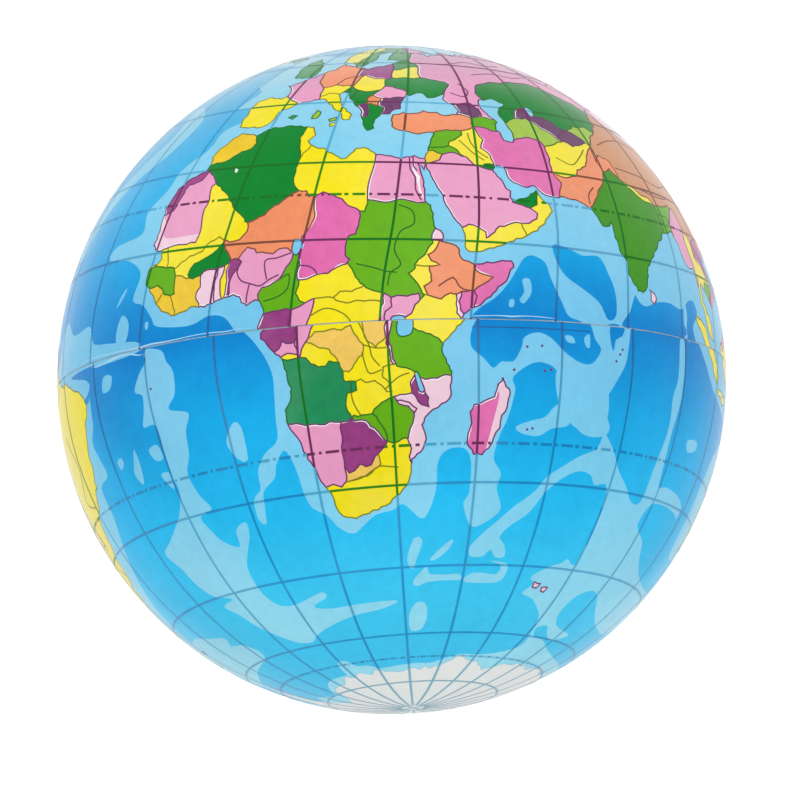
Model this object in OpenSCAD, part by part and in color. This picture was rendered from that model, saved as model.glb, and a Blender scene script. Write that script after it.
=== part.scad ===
// Foam squeeze ball printed as a world globe.
// A moulded foam core fills two thin printed film half shells, which meet at the equator.
// The origin is the ball's centre and +Z is square to the equator seam, towards the northern half.
// Lengths are in millimetres.

/* [Ball] */
// Outer diameter over the printed film
ball_diameter = 76; // [60:1:100]
// Thickness of each printed film half shell
film_thickness = 0.4; // [0.2:0.1:0.8]
// Bond line between the foam and the inside of the film
bond_gap = 0.05; // [0.02:0.01:0.1]

/* [Equator seam] */
// Gap between the edges of the two film half shells
seam_gap = 0.25; // [0.25:0.05:1]
// Clearance on each side of the foam flash that fills the gap
flash_clearance = 0.05; // [0.02:0.01:0.08]
// Depth of the foam flash below the outer face of the film
flash_recess = 0.05; // [0.05:0.05:0.15]

/* [Hidden] */
ball_radius = ball_diameter / 2;
film_inner_radius = ball_radius - film_thickness;
core_radius = film_inner_radius - bond_gap;
flash_radius = ball_radius - flash_recess;
flash_width = seam_gap - 2 * flash_clearance;
half_block = ball_diameter + 10;
$fn = 180;

// Space on the north side of the seam gap
module north_half_space() {
    translate([0, 0, seam_gap / 2 + half_block / 2])
        cube(half_block, center = true);
}

// Film half shell on the north side, open at the equator
module film_half_shell() {
    difference() {
        intersection() {
            sphere(r = ball_radius);
            north_half_space();
        }
        sphere(r = film_inner_radius);
    }
}

// Thin rib of foam that rises into the gap between the films
module equator_flash() {
    intersection() {
        sphere(r = flash_radius);
        cylinder(h = flash_width, r = ball_radius, center = true);
    }
}

module foam_core() {
    color("WhiteSmoke")
        union() {
            sphere(r = core_radius);
            equator_flash();
        }
}

module north_cover() {
    color("DeepSkyBlue")
        film_half_shell();
}

module south_cover() {
    color("DodgerBlue")
        mirror([0, 0, 1])
            film_half_shell();
}

foam_core();
north_cover();
south_cover();
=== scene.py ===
import math

import bpy
import numpy as np
from mathutils import Matrix, Vector, kdtree
from mathutils.bvhtree import BVHTree
from mathutils.geometry import delaunay_2d_cdt


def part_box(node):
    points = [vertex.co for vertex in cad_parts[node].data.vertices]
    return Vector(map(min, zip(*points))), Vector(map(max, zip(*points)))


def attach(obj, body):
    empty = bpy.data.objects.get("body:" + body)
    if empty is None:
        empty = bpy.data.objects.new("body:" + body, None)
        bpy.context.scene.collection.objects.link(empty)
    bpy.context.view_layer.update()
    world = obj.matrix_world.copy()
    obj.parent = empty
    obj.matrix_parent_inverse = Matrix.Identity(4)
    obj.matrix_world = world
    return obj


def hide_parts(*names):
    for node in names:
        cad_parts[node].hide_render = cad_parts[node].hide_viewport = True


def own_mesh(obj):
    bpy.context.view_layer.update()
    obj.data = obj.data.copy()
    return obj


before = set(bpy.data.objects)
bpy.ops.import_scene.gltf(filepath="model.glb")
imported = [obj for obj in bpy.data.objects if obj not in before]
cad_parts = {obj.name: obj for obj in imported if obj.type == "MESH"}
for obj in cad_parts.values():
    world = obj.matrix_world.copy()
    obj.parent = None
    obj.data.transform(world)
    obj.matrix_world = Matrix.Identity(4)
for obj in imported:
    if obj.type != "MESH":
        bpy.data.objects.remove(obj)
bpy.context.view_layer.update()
scene = bpy.context.scene

MM = 0.001
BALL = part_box("north_cover")[1].z
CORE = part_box("foam_core")[1].z

# Each film stops this far from the plane of the seam.
LIP = min(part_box("north_cover")[0].z, 0.06 * MM)

# How far each layer of the print reaches from the ball's centre.
FILM_LOW = CORE + 0.05 * MM
FILM_TOP = BALL - 0.06 * MM
INK_LOW = BALL - 0.05 * MM
INK_TOP = BALL - 0.02 * MM
LINE_LOW = INK_TOP - 0.002 * MM
SLIVER_TOP = BALL - 0.014 * MM
LINE_TOP = BALL - 0.008 * MM
NET_TOP = BALL - 0.002 * MM

# ---------------------------------------------------------------- camera and light

CAMERA_DROP = math.radians(9.6)
CAMERA_ROLL = math.radians(2.2)
CAMERA_DISTANCE = 20 * BALL
CAMERA_LENS = 300.7


def make_camera():
    """A long lens that looks up at the ball from a little below the seam."""
    back = Vector((0, -math.cos(CAMERA_DROP), -math.sin(CAMERA_DROP)))
    flat_right = Vector((1, 0, 0))
    flat_up = Vector((0, -math.sin(CAMERA_DROP), math.cos(CAMERA_DROP)))
    right = math.cos(CAMERA_ROLL) * flat_right - math.sin(CAMERA_ROLL) * flat_up
    up = math.sin(CAMERA_ROLL) * flat_right + math.cos(CAMERA_ROLL) * flat_up
    target = 0.955 * MM * right - 2.29 * MM * up
    data = bpy.data.cameras.new("camera")
    data.lens = CAMERA_LENS
    data.sensor_width = 36
    data.clip_start = 0.01
    data.clip_end = 20
    camera = bpy.data.objects.new("camera", data)
    scene.collection.objects.link(camera)
    turn = Matrix((right, up, back)).transposed().to_4x4()
    camera.matrix_world = Matrix.Translation(target + back * CAMERA_DISTANCE) @ turn
    scene.camera = camera


def area_light(name, spot, size, power):
    """A round lamp that faces the ball."""
    data = bpy.data.lights.new(name, "AREA")
    data.shape = "DISK"
    data.size = size
    data.energy = power
    lamp = bpy.data.objects.new(name, data)
    lamp.location = spot
    lamp.rotation_mode = "QUATERNION"
    lamp.rotation_quaternion = (-Vector(spot)).to_track_quat("-Z", "Y")
    scene.collection.objects.link(lamp)


# The strength of the world's light from the front of the ball, round its sides, to its back.
WORLD_TONES = ((0.0, 1.32), (0.25, 1.0), (0.5, 0.72), (0.7, 0.74), (0.9, 1.06), (1.0, 1.1))
WORLD_PEAK = 1.4


def studio_world():
    """White light, a little stronger from the front and the back than from the sides."""
    world = bpy.data.worlds.new("studio")
    world.use_nodes = True
    tree = world.node_tree
    back = tree.nodes["Background"]
    back.inputs["Color"].default_value = (1, 1, 1, 1)
    place = tree.nodes.new("ShaderNodeTexCoord")
    split = tree.nodes.new("ShaderNodeSeparateXYZ")
    tree.links.new(place.outputs["Generated"], split.inputs["Vector"])
    ramp = tree.nodes.new("ShaderNodeMapRange")
    ramp.inputs["From Min"].default_value = -1
    ramp.inputs["From Max"].default_value = 1
    tree.links.new(split.outputs["Y"], ramp.inputs["Value"])
    curve = tree.nodes.new("ShaderNodeValToRGB")
    curve.color_ramp.interpolation = "B_SPLINE"
    ends = curve.color_ramp.elements
    while len(ends) < len(WORLD_TONES):
        ends.new(0.5)
    for end, (at, value) in zip(ends, WORLD_TONES):
        end.position = at
        end.color = (value / WORLD_PEAK, value / WORLD_PEAK, value / WORLD_PEAK, 1)
    tree.links.new(ramp.outputs["Result"], curve.inputs["Fac"])
    gain = tree.nodes.new("ShaderNodeMath")
    gain.operation = "MULTIPLY"
    gain.inputs[1].default_value = WORLD_PEAK
    tree.links.new(curve.outputs["Color"], gain.inputs[0])
    tree.links.new(gain.outputs["Value"], back.inputs["Strength"])
    scene.world = world


make_camera()
area_light("key_light", (-0.5, -0.75, 0.75), 0.6, 0.8)
area_light("fill_light", (0.8, -0.7, 0.1), 0.9, 0.3)
studio_world()
scene.view_settings.view_transform = "Standard"

# ---------------------------------------------------------------- materials


def linear(hexcode):
    """A screen colour as the linear colour that a shader takes."""
    out = []
    for i in (0, 2, 4):
        c = int(hexcode[i : i + 2], 16) / 255
        out.append(c / 12.92 if c <= 0.04045 else ((c + 0.055) / 1.055) ** 2.4)
    return (*out, 1)


class Nodes:
    """A material being built, with short calls for its nodes."""

    def __init__(self, name):
        self.material = bpy.data.materials.new(name)
        self.material.use_nodes = True
        self.tree = self.material.node_tree
        self.shader = self.tree.nodes["Principled BSDF"]

    def set(self, socket, value):
        self.shader.inputs[socket].default_value = value

    def link(self, source, output, target, socket):
        self.tree.links.new(source.outputs[output], target.inputs[socket])

    def add(self, kind, **values):
        """A node, with values for its own settings or for its sockets."""
        node = self.tree.nodes.new(kind)
        for key, value in values.items():
            if hasattr(node, key):
                setattr(node, key, value)
            else:
                node.inputs[key.replace("_", " ")].default_value = value
        return node

    def textured(self, kind, **values):
        """A texture, or a split into X, Y and Z, that takes the ball's own coordinates."""
        node = self.add(kind, **values)
        self.link(self.add("ShaderNodeTexCoord"), "Object", node, "Vector")
        return node

    def total(self, a, a_output, b, b_output):
        node = self.add("ShaderNodeMath", operation="ADD")
        self.link(a, a_output, node, 0)
        self.link(b, b_output, node, 1)
        return node

    def mapped(self, source, output, span, onto=(0.0, 1.0)):
        """A value within span stretched onto another span, and held at its ends."""
        node = self.add("ShaderNodeMapRange", From_Min=span[0], From_Max=span[1])
        node.inputs["To Min"].default_value = onto[0]
        node.inputs["To Max"].default_value = onto[1]
        self.link(source, output, node, "Value")
        return node

    def bump(self, source, output, strength):
        node = self.add("ShaderNodeBump", Strength=strength, Distance=0.1 * MM)
        self.link(source, output, node, "Height")
        self.link(node, "Normal", self.shader, "Normal")


def gloss(n, rough, haze=0.6):
    """The satin face of the film, which pales towards the ball's rim."""
    n.set("Roughness", rough)
    n.set("IOR", 1.46)
    n.set("Specular IOR Level", 0.08)
    n.set("Coat Weight", 0.04)
    n.set("Coat Roughness", 0.2)
    n.set("Sheen Weight", haze)
    n.set("Sheen Roughness", 0.28)


def tone_ramp(n, tones, split, broad):
    """The tones by height, from the equator to both poles, on an uneven scale."""
    ramp = n.add("ShaderNodeValToRGB")
    points = ramp.color_ramp.elements
    for i, tone in enumerate(tones):
        at = i / (len(tones) - 1)
        point = points[0] if at == 0 else points[-1] if at == 1 else points.new(at)
        point.color = linear(tone)
    height = n.add("ShaderNodeMath", operation="ABSOLUTE")
    n.link(split, "Z", height, 0)
    wander = n.add("ShaderNodeMath", operation="MULTIPLY_ADD")
    wander.inputs[1].default_value = 10 * MM
    n.link(broad, "Fac", wander, 0)
    n.link(height, "Value", wander, 2)
    share = n.mapped(wander, "Value", (5 * MM, 43 * MM))
    n.link(share, "Result", ramp, "Fac")
    return ramp


def printed(name, *tones, mottle=0.10, fade=0.12, haze=0.6):
    """Ink on the film: fine mottle, worn areas, painted haze of the light from above that pales the north,
    and orange peel.
    """
    n = Nodes(name)
    n.material.diffuse_color = linear(tones[0])
    fine = n.textured("ShaderNodeTexNoise", Scale=900.0, Detail=3.0, Roughness=0.6)
    broad = n.textured("ShaderNodeTexNoise", Scale=60.0, Detail=4.0, Roughness=0.6)
    split = n.textured("ShaderNodeSeparateXYZ")
    mottled = n.total(fine, "Fac", broad, "Fac")
    value = n.mapped(mottled, "Value", (0.6, 1.4), (1 - 1.4 * mottle, 1 + 0.7 * mottle))
    shade = n.add("ShaderNodeHueSaturation", Color=linear(tones[0]))
    n.link(value, "Result", shade, "Value")
    if len(tones) > 1:
        n.link(tone_ramp(n, tones, split, broad), "Color", shade, "Color")
    worn = n.textured("ShaderNodeTexNoise", Scale=26.0, Detail=5.0, Roughness=0.65)
    thin = n.mapped(worn, "Fac", (0.42, 0.75), (0.0, fade))
    # Painted highlight: up to 22% paler towards the north pole, for the haze that light from above reflects
    # there.
    painted_top_haze = n.mapped(split, "Z", (27 * MM, 40 * MM), (0.0, 0.22))
    paler = n.total(thin, "Result", painted_top_haze, "Result")
    # The worn areas and the painted top haze both mix the ink towards this pale grey.
    worn_and_hazed = n.add("ShaderNodeMix", data_type="RGBA")
    worn_and_hazed.inputs["B"].default_value = linear("E8EAEA")
    n.link(paler, "Value", worn_and_hazed, "Factor")
    n.link(shade, "Color", worn_and_hazed, "A")
    n.link(worn_and_hazed, "Result", n.shader, "Base Color")
    gloss(n, 0.36, haze)
    peel = n.textured("ShaderNodeTexNoise", Scale=520.0, Detail=2.0)
    n.bump(peel, "Fac", 0.12)
    return n.material


def line_ink(name, hexcode):
    """Flat ink for narrow lines."""
    n = Nodes(name)
    n.set("Base Color", linear(hexcode))
    n.material.diffuse_color = linear(hexcode)
    gloss(n, 0.4)
    return n.material


def foam_material():
    """Moulded foam with fine cells, in a blue-grey that is partly ink bled onto the white foam and partly
    painted shade of the narrow seam gap.
    """
    n = Nodes("moulded_foam")
    cells = n.textured("ShaderNodeTexVoronoi", Scale=2600.0)
    grain = n.textured("ShaderNodeTexNoise", Scale=700.0, Detail=4.0)
    mix = n.add("ShaderNodeMix", data_type="RGBA")
    # Blue-grey instead of the foam's white: partly bled ink, partly painted shade of the seam gap.
    mix.inputs["A"].default_value = linear("9FC4D8")
    mix.inputs["B"].default_value = linear("C4DAE4")
    n.link(grain, "Fac", mix, "Factor")
    n.link(mix, "Result", n.shader, "Base Color")
    n.bump(cells, "Distance", 0.5)
    n.set("Roughness", 0.75)
    return n.material


# ---------------------------------------------------------------- the map, by longitude and latitude
# Closed coast outlines, in degrees of longitude and latitude.
COASTS = {
    "africa_asia_europe": """
        34.6,30.9 32.5,31.5 31,31.2 29,31 27,31.4 25,31.6 24,32.3 22.3,33.2 20.8,33 20,31.8 19.2,30.8
        17,31.5 15.5,32.2 14.3,33.2 12.3,33.5 11,34.2 10.3,35 11.4,36.3 10.8,37.3 10.3,38.3 9,38.5
        7,38.8 4,39 1,38.8 -1,38 -2.5,37 -4.5,37.5 -6.8,38 -8.3,37 -9,35.7 -10.3,34.8 -11,33 -10.3,31.3
        -10.6,29.8 -12,29.4 -13.5,28.8 -15,27.5 -16.3,25 -16.8,23 -16.5,21.5 -16.2,19.5 -16,17.5
        -16.3,16.5 -15.5,15.8 -13.5,15.3 -13,14 -13.8,13 -15.3,12.7 -15.5,11.5 -15.3,10 -14.3,9.5
        -13.5,8.5 -12.3,7.2 -11,6 -9.3,5 -8,4.3 -7,4.3 -5.5,4.6 -4,5.2 -2.5,5 -0.5,5.2 1,5.6 2.8,6
        4.3,6.3 5.5,5.8 6,4.8 7,4.2 8.5,5 9.2,4.8 9.8,3.8 10.3,2.7 10,2 9.6,1 9.4,0 8.7,-0.6 8.7,-1.5
        9.8,-2.7 10.8,-4 11.8,-4.9 12.3,-5.7 12.5,-7.5 12.8,-9.5 13.3,-11.5 13,-13 12,-15 11.5,-17
        11.5,-18.2 12.3,-19.8 13.3,-21.5 14,-23.5 14.8,-25.5 15.5,-27.5 16.2,-28.8 16.8,-29.8 17.5,-31
        17.8,-33 18.8,-34.5 20.5,-34.9 23,-34.6 26,-34 28.5,-33 30.5,-31.5 32,-30 32.6,-28.5 32.8,-27
        33,-25.8 34,-25 35.2,-24 35.6,-22 35,-20.3 35.5,-19.2 37,-17.8 38.5,-16.8 39.8,-16 40.2,-14.5
        40.3,-12.5 40.3,-11 40,-9 39.5,-7.5 38.9,-6 39,-4.8 39.5,-3.7 40.5,-2.5 41.5,-1.2 42.5,-0.3
        43.5,0 43.8,0.8 45,1.8 47,3 48.5,4.5 50,6.3 51,8 51.8,10 51.3,11.3 49,11 47,10.8 45.5,10.3
        44.5,10.4 43,11 42.3,11.8 42,13.2 40.5,14.3 38.9,14.7 39,15.6 38.4,16.8 37.5,17.2 37,18.5
        36.8,20 36.2,21.6 35.2,22.3 35,24 34.7,26 34,28 33.3,29.8 34.6,28.4 34.9,29.7 35.1,28.8 36,27.3
        37.3,25 38.5,22.8 39.5,21 41,18.8 42.3,17 42.8,15.5 43,13.6 44,12.8 46,13 48,13.8 50,14.8
        52,16.1 54.5,17.3 56,18 57.5,19.5 58.5,21 59.3,22 58.8,23.3 57.3,24.3 56.5,25.8 55.3,25 54,24
        52,23.3 51,24 51.2,25.2 50.5,25.5 50,26.5 48.8,28 48,29 48.5,30 49,30.3 50.3,30 50.8,28.5 52,27
        54,26.3 56.3,26.7 57.2,25.8 58.5,25 61,24.8 64,24.8 66,24.5 67.5,23.8 68.5,23.3 69.5,22
        70.3,20.5 72,20.7 72.5,21.5 72.8,20 73.3,18 74.3,15 75.3,12 76.3,9.3 77.5,7.6 78.8,7.4 80,9
        80.5,11.5 80.6,13.6 82,15.6 84,17.8 86.5,20 87.5,21.3 89,21.7 91,22.3 92.3,22.3 93.5,19.5
        94.3,17 95.5,16 97.5,16.3 98.3,13 98.5,9.5 100,6.5 101.3,3 103.8,1.4 103.3,4.5 101,6.8 99.5,9.5
        100,13.3 102,12 105,8.8 107,10.5 109.3,12 108.5,15.5 106,19 108.5,21.7 110.5,20.5 113.5,22.3
        117,23.7 120,27 121.8,30.5 119.5,34.8 122,37 118.5,38.3 121.5,40.5 125,39.8 126.3,37 126.5,34.5
        129,35.3 128.5,38 130.5,42.5 135,44 140,48.5 141,52.5 136,54.5 142,59.3 150,59.5 155,61.5
        163,62.3 157,58 156,52 160,53.5 163,57 170,60 178,62.5 182,65 190,66 181,69 170,70 160,69.8
        150,71.5 140,72.7 128,73 115,74 105,77.3 95,76 82,73 73,72 68,68.5 60,69 54,68.5 44,68 43.5,66
        38,64.3 34,66.5 41,66.8 36,69.3 28,71.5 18,71 11,68 7,63.5 7.5,60.5 11,60 13,58.3 15,58 16.5,60
        18.5,62.5 18,65 22,67.5 25,67 23,64 22.5,61.5 27,61.3 30,61 26,60.3 24.5,59 22,58 19,57.5
        14,57.5 10.5,58.5 8.3,59.5 7,57 4,55.5 2,54 -1,52.5 -4.5,51.5 -1.8,49.5 -1.5,47.7 -5,47.3
        -9.5,47 -10,45 -9.5,42 -8.8,39.8 -6,39.3 -2.5,39.2 -0.8,40.5 -0.5,43 1.5,43.8 3.3,45 6,45.5
        8.3,46 9.8,46 11.5,44.5 13.5,42.8 15.5,41.5 16.3,40 17.6,40 17.8,41.3 16,43 14,45 12.8,47.3
        13.5,48.2 14.5,48 16,46 17.5,44.5 19,43.3 20,42 20.3,40.5 21.5,38 22.3,37.2 23.5,37.8 23.3,40
        24.5,41.5 26.3,41.5 27.3,42.8 28.6,43 28.8,45 29.5,46.8 32,47.8 34,47.8 35,46.5 37,46.8
        39.3,47.9 38.8,46.3 40.5,45 42.3,43 41.7,42 39,41.5 37,42.3 34,42.6 32,41.8 29.5,42 27.2,41.3
        27,39.8 27.3,38.3 29,37.3 31,37 34,36.8 36.3,37 36,36 35.5,34 35.2,32.5""",
    "americas": """
        -46,-1.6 -41,-2.3 -38,-3.5 -35,-5 -34,-6.5 -35,-8.5 -36.8,-11 -38.2,-14 -38.8,-17 -40,-19.5
        -43,-21.5 -46,-23.5 -48,-26.5 -49.5,-29 -53.5,-34 -57,-35 -58,-37.5 -62,-39 -65,-42 -65.5,-45
        -68,-49 -69,-52 -67,-55 -71,-54 -74,-51 -75,-46 -73.5,-40 -73,-36 -71.5,-30 -70.3,-22 -70.5,-18
        -75,-15 -78,-10 -81,-6 -80,-2.5 -79.5,1.5 -77.3,4 -78,8 -80,8.2 -83,8 -85.5,10 -87.5,13
        -92,14.5 -95,16 -100,17 -105,20 -106,23.5 -109,26.5 -112.5,30.5 -114.8,31.5 -113,28 -110,23.3
        -112,25.5 -114.5,28.5 -117,32.5 -120.5,34.8 -123.5,38.5 -124.3,43 -124,48 -128,51 -132,55
        -139,59.5 -146,61 -152,59.5 -158,57 -164,54.8 -160,58.5 -165,61 -165,64.5 -168,66 -162,67
        -166,68.8 -156,71 -145,70 -135,69 -125,70 -115,68.5 -105,68 -95,68 -94,72 -85,69.5 -82,67
        -87,64.5 -94,60 -92.5,57 -83,55.3 -80,51.5 -78.5,54.5 -77,58 -78,62 -70,61 -65,59 -61.5,56
        -56,52 -60,50 -66,50 -65,47.5 -61,46 -66,44.5 -70.3,43.5 -71,41.5 -74.5,39.5 -76,36 -81,31.5
        -80.3,26.5 -81.8,26 -82.8,29 -85,29.8 -90,29.3 -94.5,29.5 -97.3,27 -97.5,22 -95,18.5 -91,19
        -90,21.3 -87,21 -88.3,16.5 -84,15.8 -83.5,11 -81,9 -77.5,8.7 -75.5,10.8 -72,12 -68,11.3
        -62,10.5 -60,8.3 -55,5.8 -51,4 -50,1 -48.5,-0.8""",
    "antarctica": """
        0,-71 10,-71 20,-70.5 30,-70 38,-69.5 45,-69.3 48,-68.3 55,-66.8 60,-68 65,-69 70,-70.5
        75,-69.5 85,-68 95,-67 105,-67 115,-67 130,-66.5 145,-67.5 160,-70 168,-73 165,-77.5 190,-78.5
        205,-77 225,-74.5 245,-73 262,-72 285,-73 293,-68 300,-64 297,-67 298,-73 310,-77 325,-77.5
        333,-74.5 345,-72.5 352,-71.3""",
    "greenland": """
        -45,60 -41,64.5 -32,68 -22,71 -19,76 -20,80 -30,83.3 -50,82.3 -62,81.3 -68,79 -70,76.5 -60,75.5
        -54.5,72 -52.5,68 -51,64 -48,61""",
    "australia": """
        120,-22 119.5,-26.5 120.5,-32 120.5,-34 123.5,-33.8 129,-31.6 134,-32.7 137.5,-33 138.5,-35.5
        141,-38.2 146.3,-39 150,-37.3 153,-31 153.3,-26 149,-20.5 146,-18.8 145,-15 142.3,-11
        141.3,-14.5 140,-17.6 136,-15.3 136.5,-12 132,-11.5 129.5,-14.8 125.5,-14.3 123.8,-18 122,-20.3""",
    "caspian": """
        48.3,47 47.8,45 49,43 51,40.7 50.2,38.7 51.5,36.2 53.5,35.9 54,38.5 53,41 52.2,43.5 53,45
        55,46.3 52,47.6""",
    "madagascar": """
        49.3,-12 50.4,-14 50.3,-16 49.2,-19 48.3,-21.8 47.2,-24.3 46,-25.4 44.4,-25.3 43.4,-24 43.2,-22
        43.8,-20.3 43.5,-18.4 44.2,-17.1 46,-16.4 47.8,-15.6 48.3,-13.8""",
    "britain": "-7,61.5 -4.5,63.5 -1,61 1,57.5 1.5,55 -2,54 -4.5,54.3 -6,57",
    "balearic": "3,41.2 3.8,41.8 5,41.5 4.2,40.7",
    "sardinia": "8.8,40.6 10.2,40.8 10.3,42.3 9.3,42.8",
    "sicily": "13,40.2 14.8,40.8 14.6,39.9 13.4,39.6",
    "malta": "13.6,39 15,39.3 14.8,38.5 13.8,38.4",
    "sri_lanka": "80.6,8.3 81.8,7.6 82.3,6.2 81.6,5.2 80.8,6",
    "sumatra": "95.5,5.3 97.8,4.6 100.5,2.1 104,-1.7 106,-4.2 105.5,-5.9 102.5,-4 100,-1 98,1.8",
    "java": "105.5,-6.8 108.5,-6.5 112.5,-6.8 114.5,-8 110,-8.4 106.5,-7.6",
    "borneo": "109,1.5 111.5,2.5 114,4.5 117,7 119,5.3 117.8,1 116.3,-3.8 112,-3.3 110,-1.3",
    "sulawesi": """
        119,-5.5 119,-0.5 121,1.2 125,1.5 121,0.3 121,-2 123.5,-0.8 121.8,-3 122.5,-5 120.5,-3
        120.3,-5.5""",
    "new_guinea": """
        131,-0.8 134,-0.8 135,-3.3 138,-1.7 145,-4.3 148,-6.5 147,-9 150.5,-10.5 147,-10.3 143,-9
        138.5,-8.3 137.8,-5.3 133,-4 132,-2.5""",
    "japan": "130,31.5 132,34 136,35.5 139,38 141,41.5 142,39.5 140.5,36 137,34.5 135.5,33.5 131.5,31.5",
    "hokkaido": "140,42 142,45.3 145,43.5 143,42",
    "sakhalin": "142,46 142.3,54 143.6,52 144.2,49 143,46.5",
    "taiwan": "120.2,22.8 121.5,25 121.4,22.6",
    "luzon": "120.3,16 121,18.5 122.3,17 122,14.5 124,13 121,13.7",
    "mindanao": "122,7.5 125.3,9.7 126.4,7 125.3,5.8",
    "tasmania": "145,-41 148.2,-41 147.3,-43.5 145.8,-43",
    "north_island": "173,-35 175.5,-37 178.3,-38 176.5,-40.5 174.8,-41.4 174,-39",
    "south_island": "172.8,-40.7 174.2,-41.7 171,-44.3 169,-46.6 166.5,-45.7 170.5,-42.8",
    "baffin": "-64,62.5 -62,66 -68,70 -78,72.5 -85,73.5 -88,71 -78,69 -73,67 -73,64.5",
    "victoria_island": "-105,69.5 -115,69.8 -117,72.5 -108,73 -102,71",
    "ellesmere": "-75,78 -90,77 -92,81 -70,83 -63,82",
    "cuba": "-84.5,22 -80,23 -75,20.3 -77.5,20 -80,21.8",
    "hispaniola": "-74,19.8 -69,19.3 -69,18.3 -74,18.2",
    "iceland": "-24,65.5 -18,66.5 -14,65 -18,63.4 -22.5,64",
    "novaya_zemlya": "52,71 57,70.6 62,74.5 68,76.8 62,76 54,73",
    "svalbard": "12,79.5 24,80.2 20,77.5 15,77",
    "falklands": "-61,-51.5 -58,-51.3 -59,-52.4",
    "kerguelen": "65,-48 67.2,-48.3 66.6,-49.3 65.2,-49.1",
    "heard": "68.2,-49 70,-48.9 69.6,-50 68.5,-49.8",
}
# Lakes, cut out of the land.
LAKES = {
    "victoria": "31.6,-0.6 32,0.6 34,0.6 34.2,-1.5 33.6,-2.6 32,-2.8 31.5,-1.7",
    "chad": "13.5,15.2 14.8,14.9 15,13.5 14.4,12.3 13.5,13 13.3,14.2",
    "malawi": "34.2,-10.3 34.7,-10.2 35.2,-12 35.7,-14.1 34.9,-14.3 34.4,-12.3",
    "aral": "60.5,46 62,45.6 62.2,43.9 60.8,43.4",
    "great_lakes": """
        -92,46.8 -87,48.6 -84.5,46.8 -80.5,45 -82.5,42.8 -84,45.5 -87,44.8 -87.3,41.8 -88,44.5 -90,46.5""",
    "great_bear": "-125,66.5 -119,66.5 -118,62 -112,61.5 -117,63.5",
    "winnipeg": "-98.8,53.5 -96.5,51 -97.3,50.7 -99.5,52.5",
    "baikal": "104,51.6 110,55.6 109,53.2",
}
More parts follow.
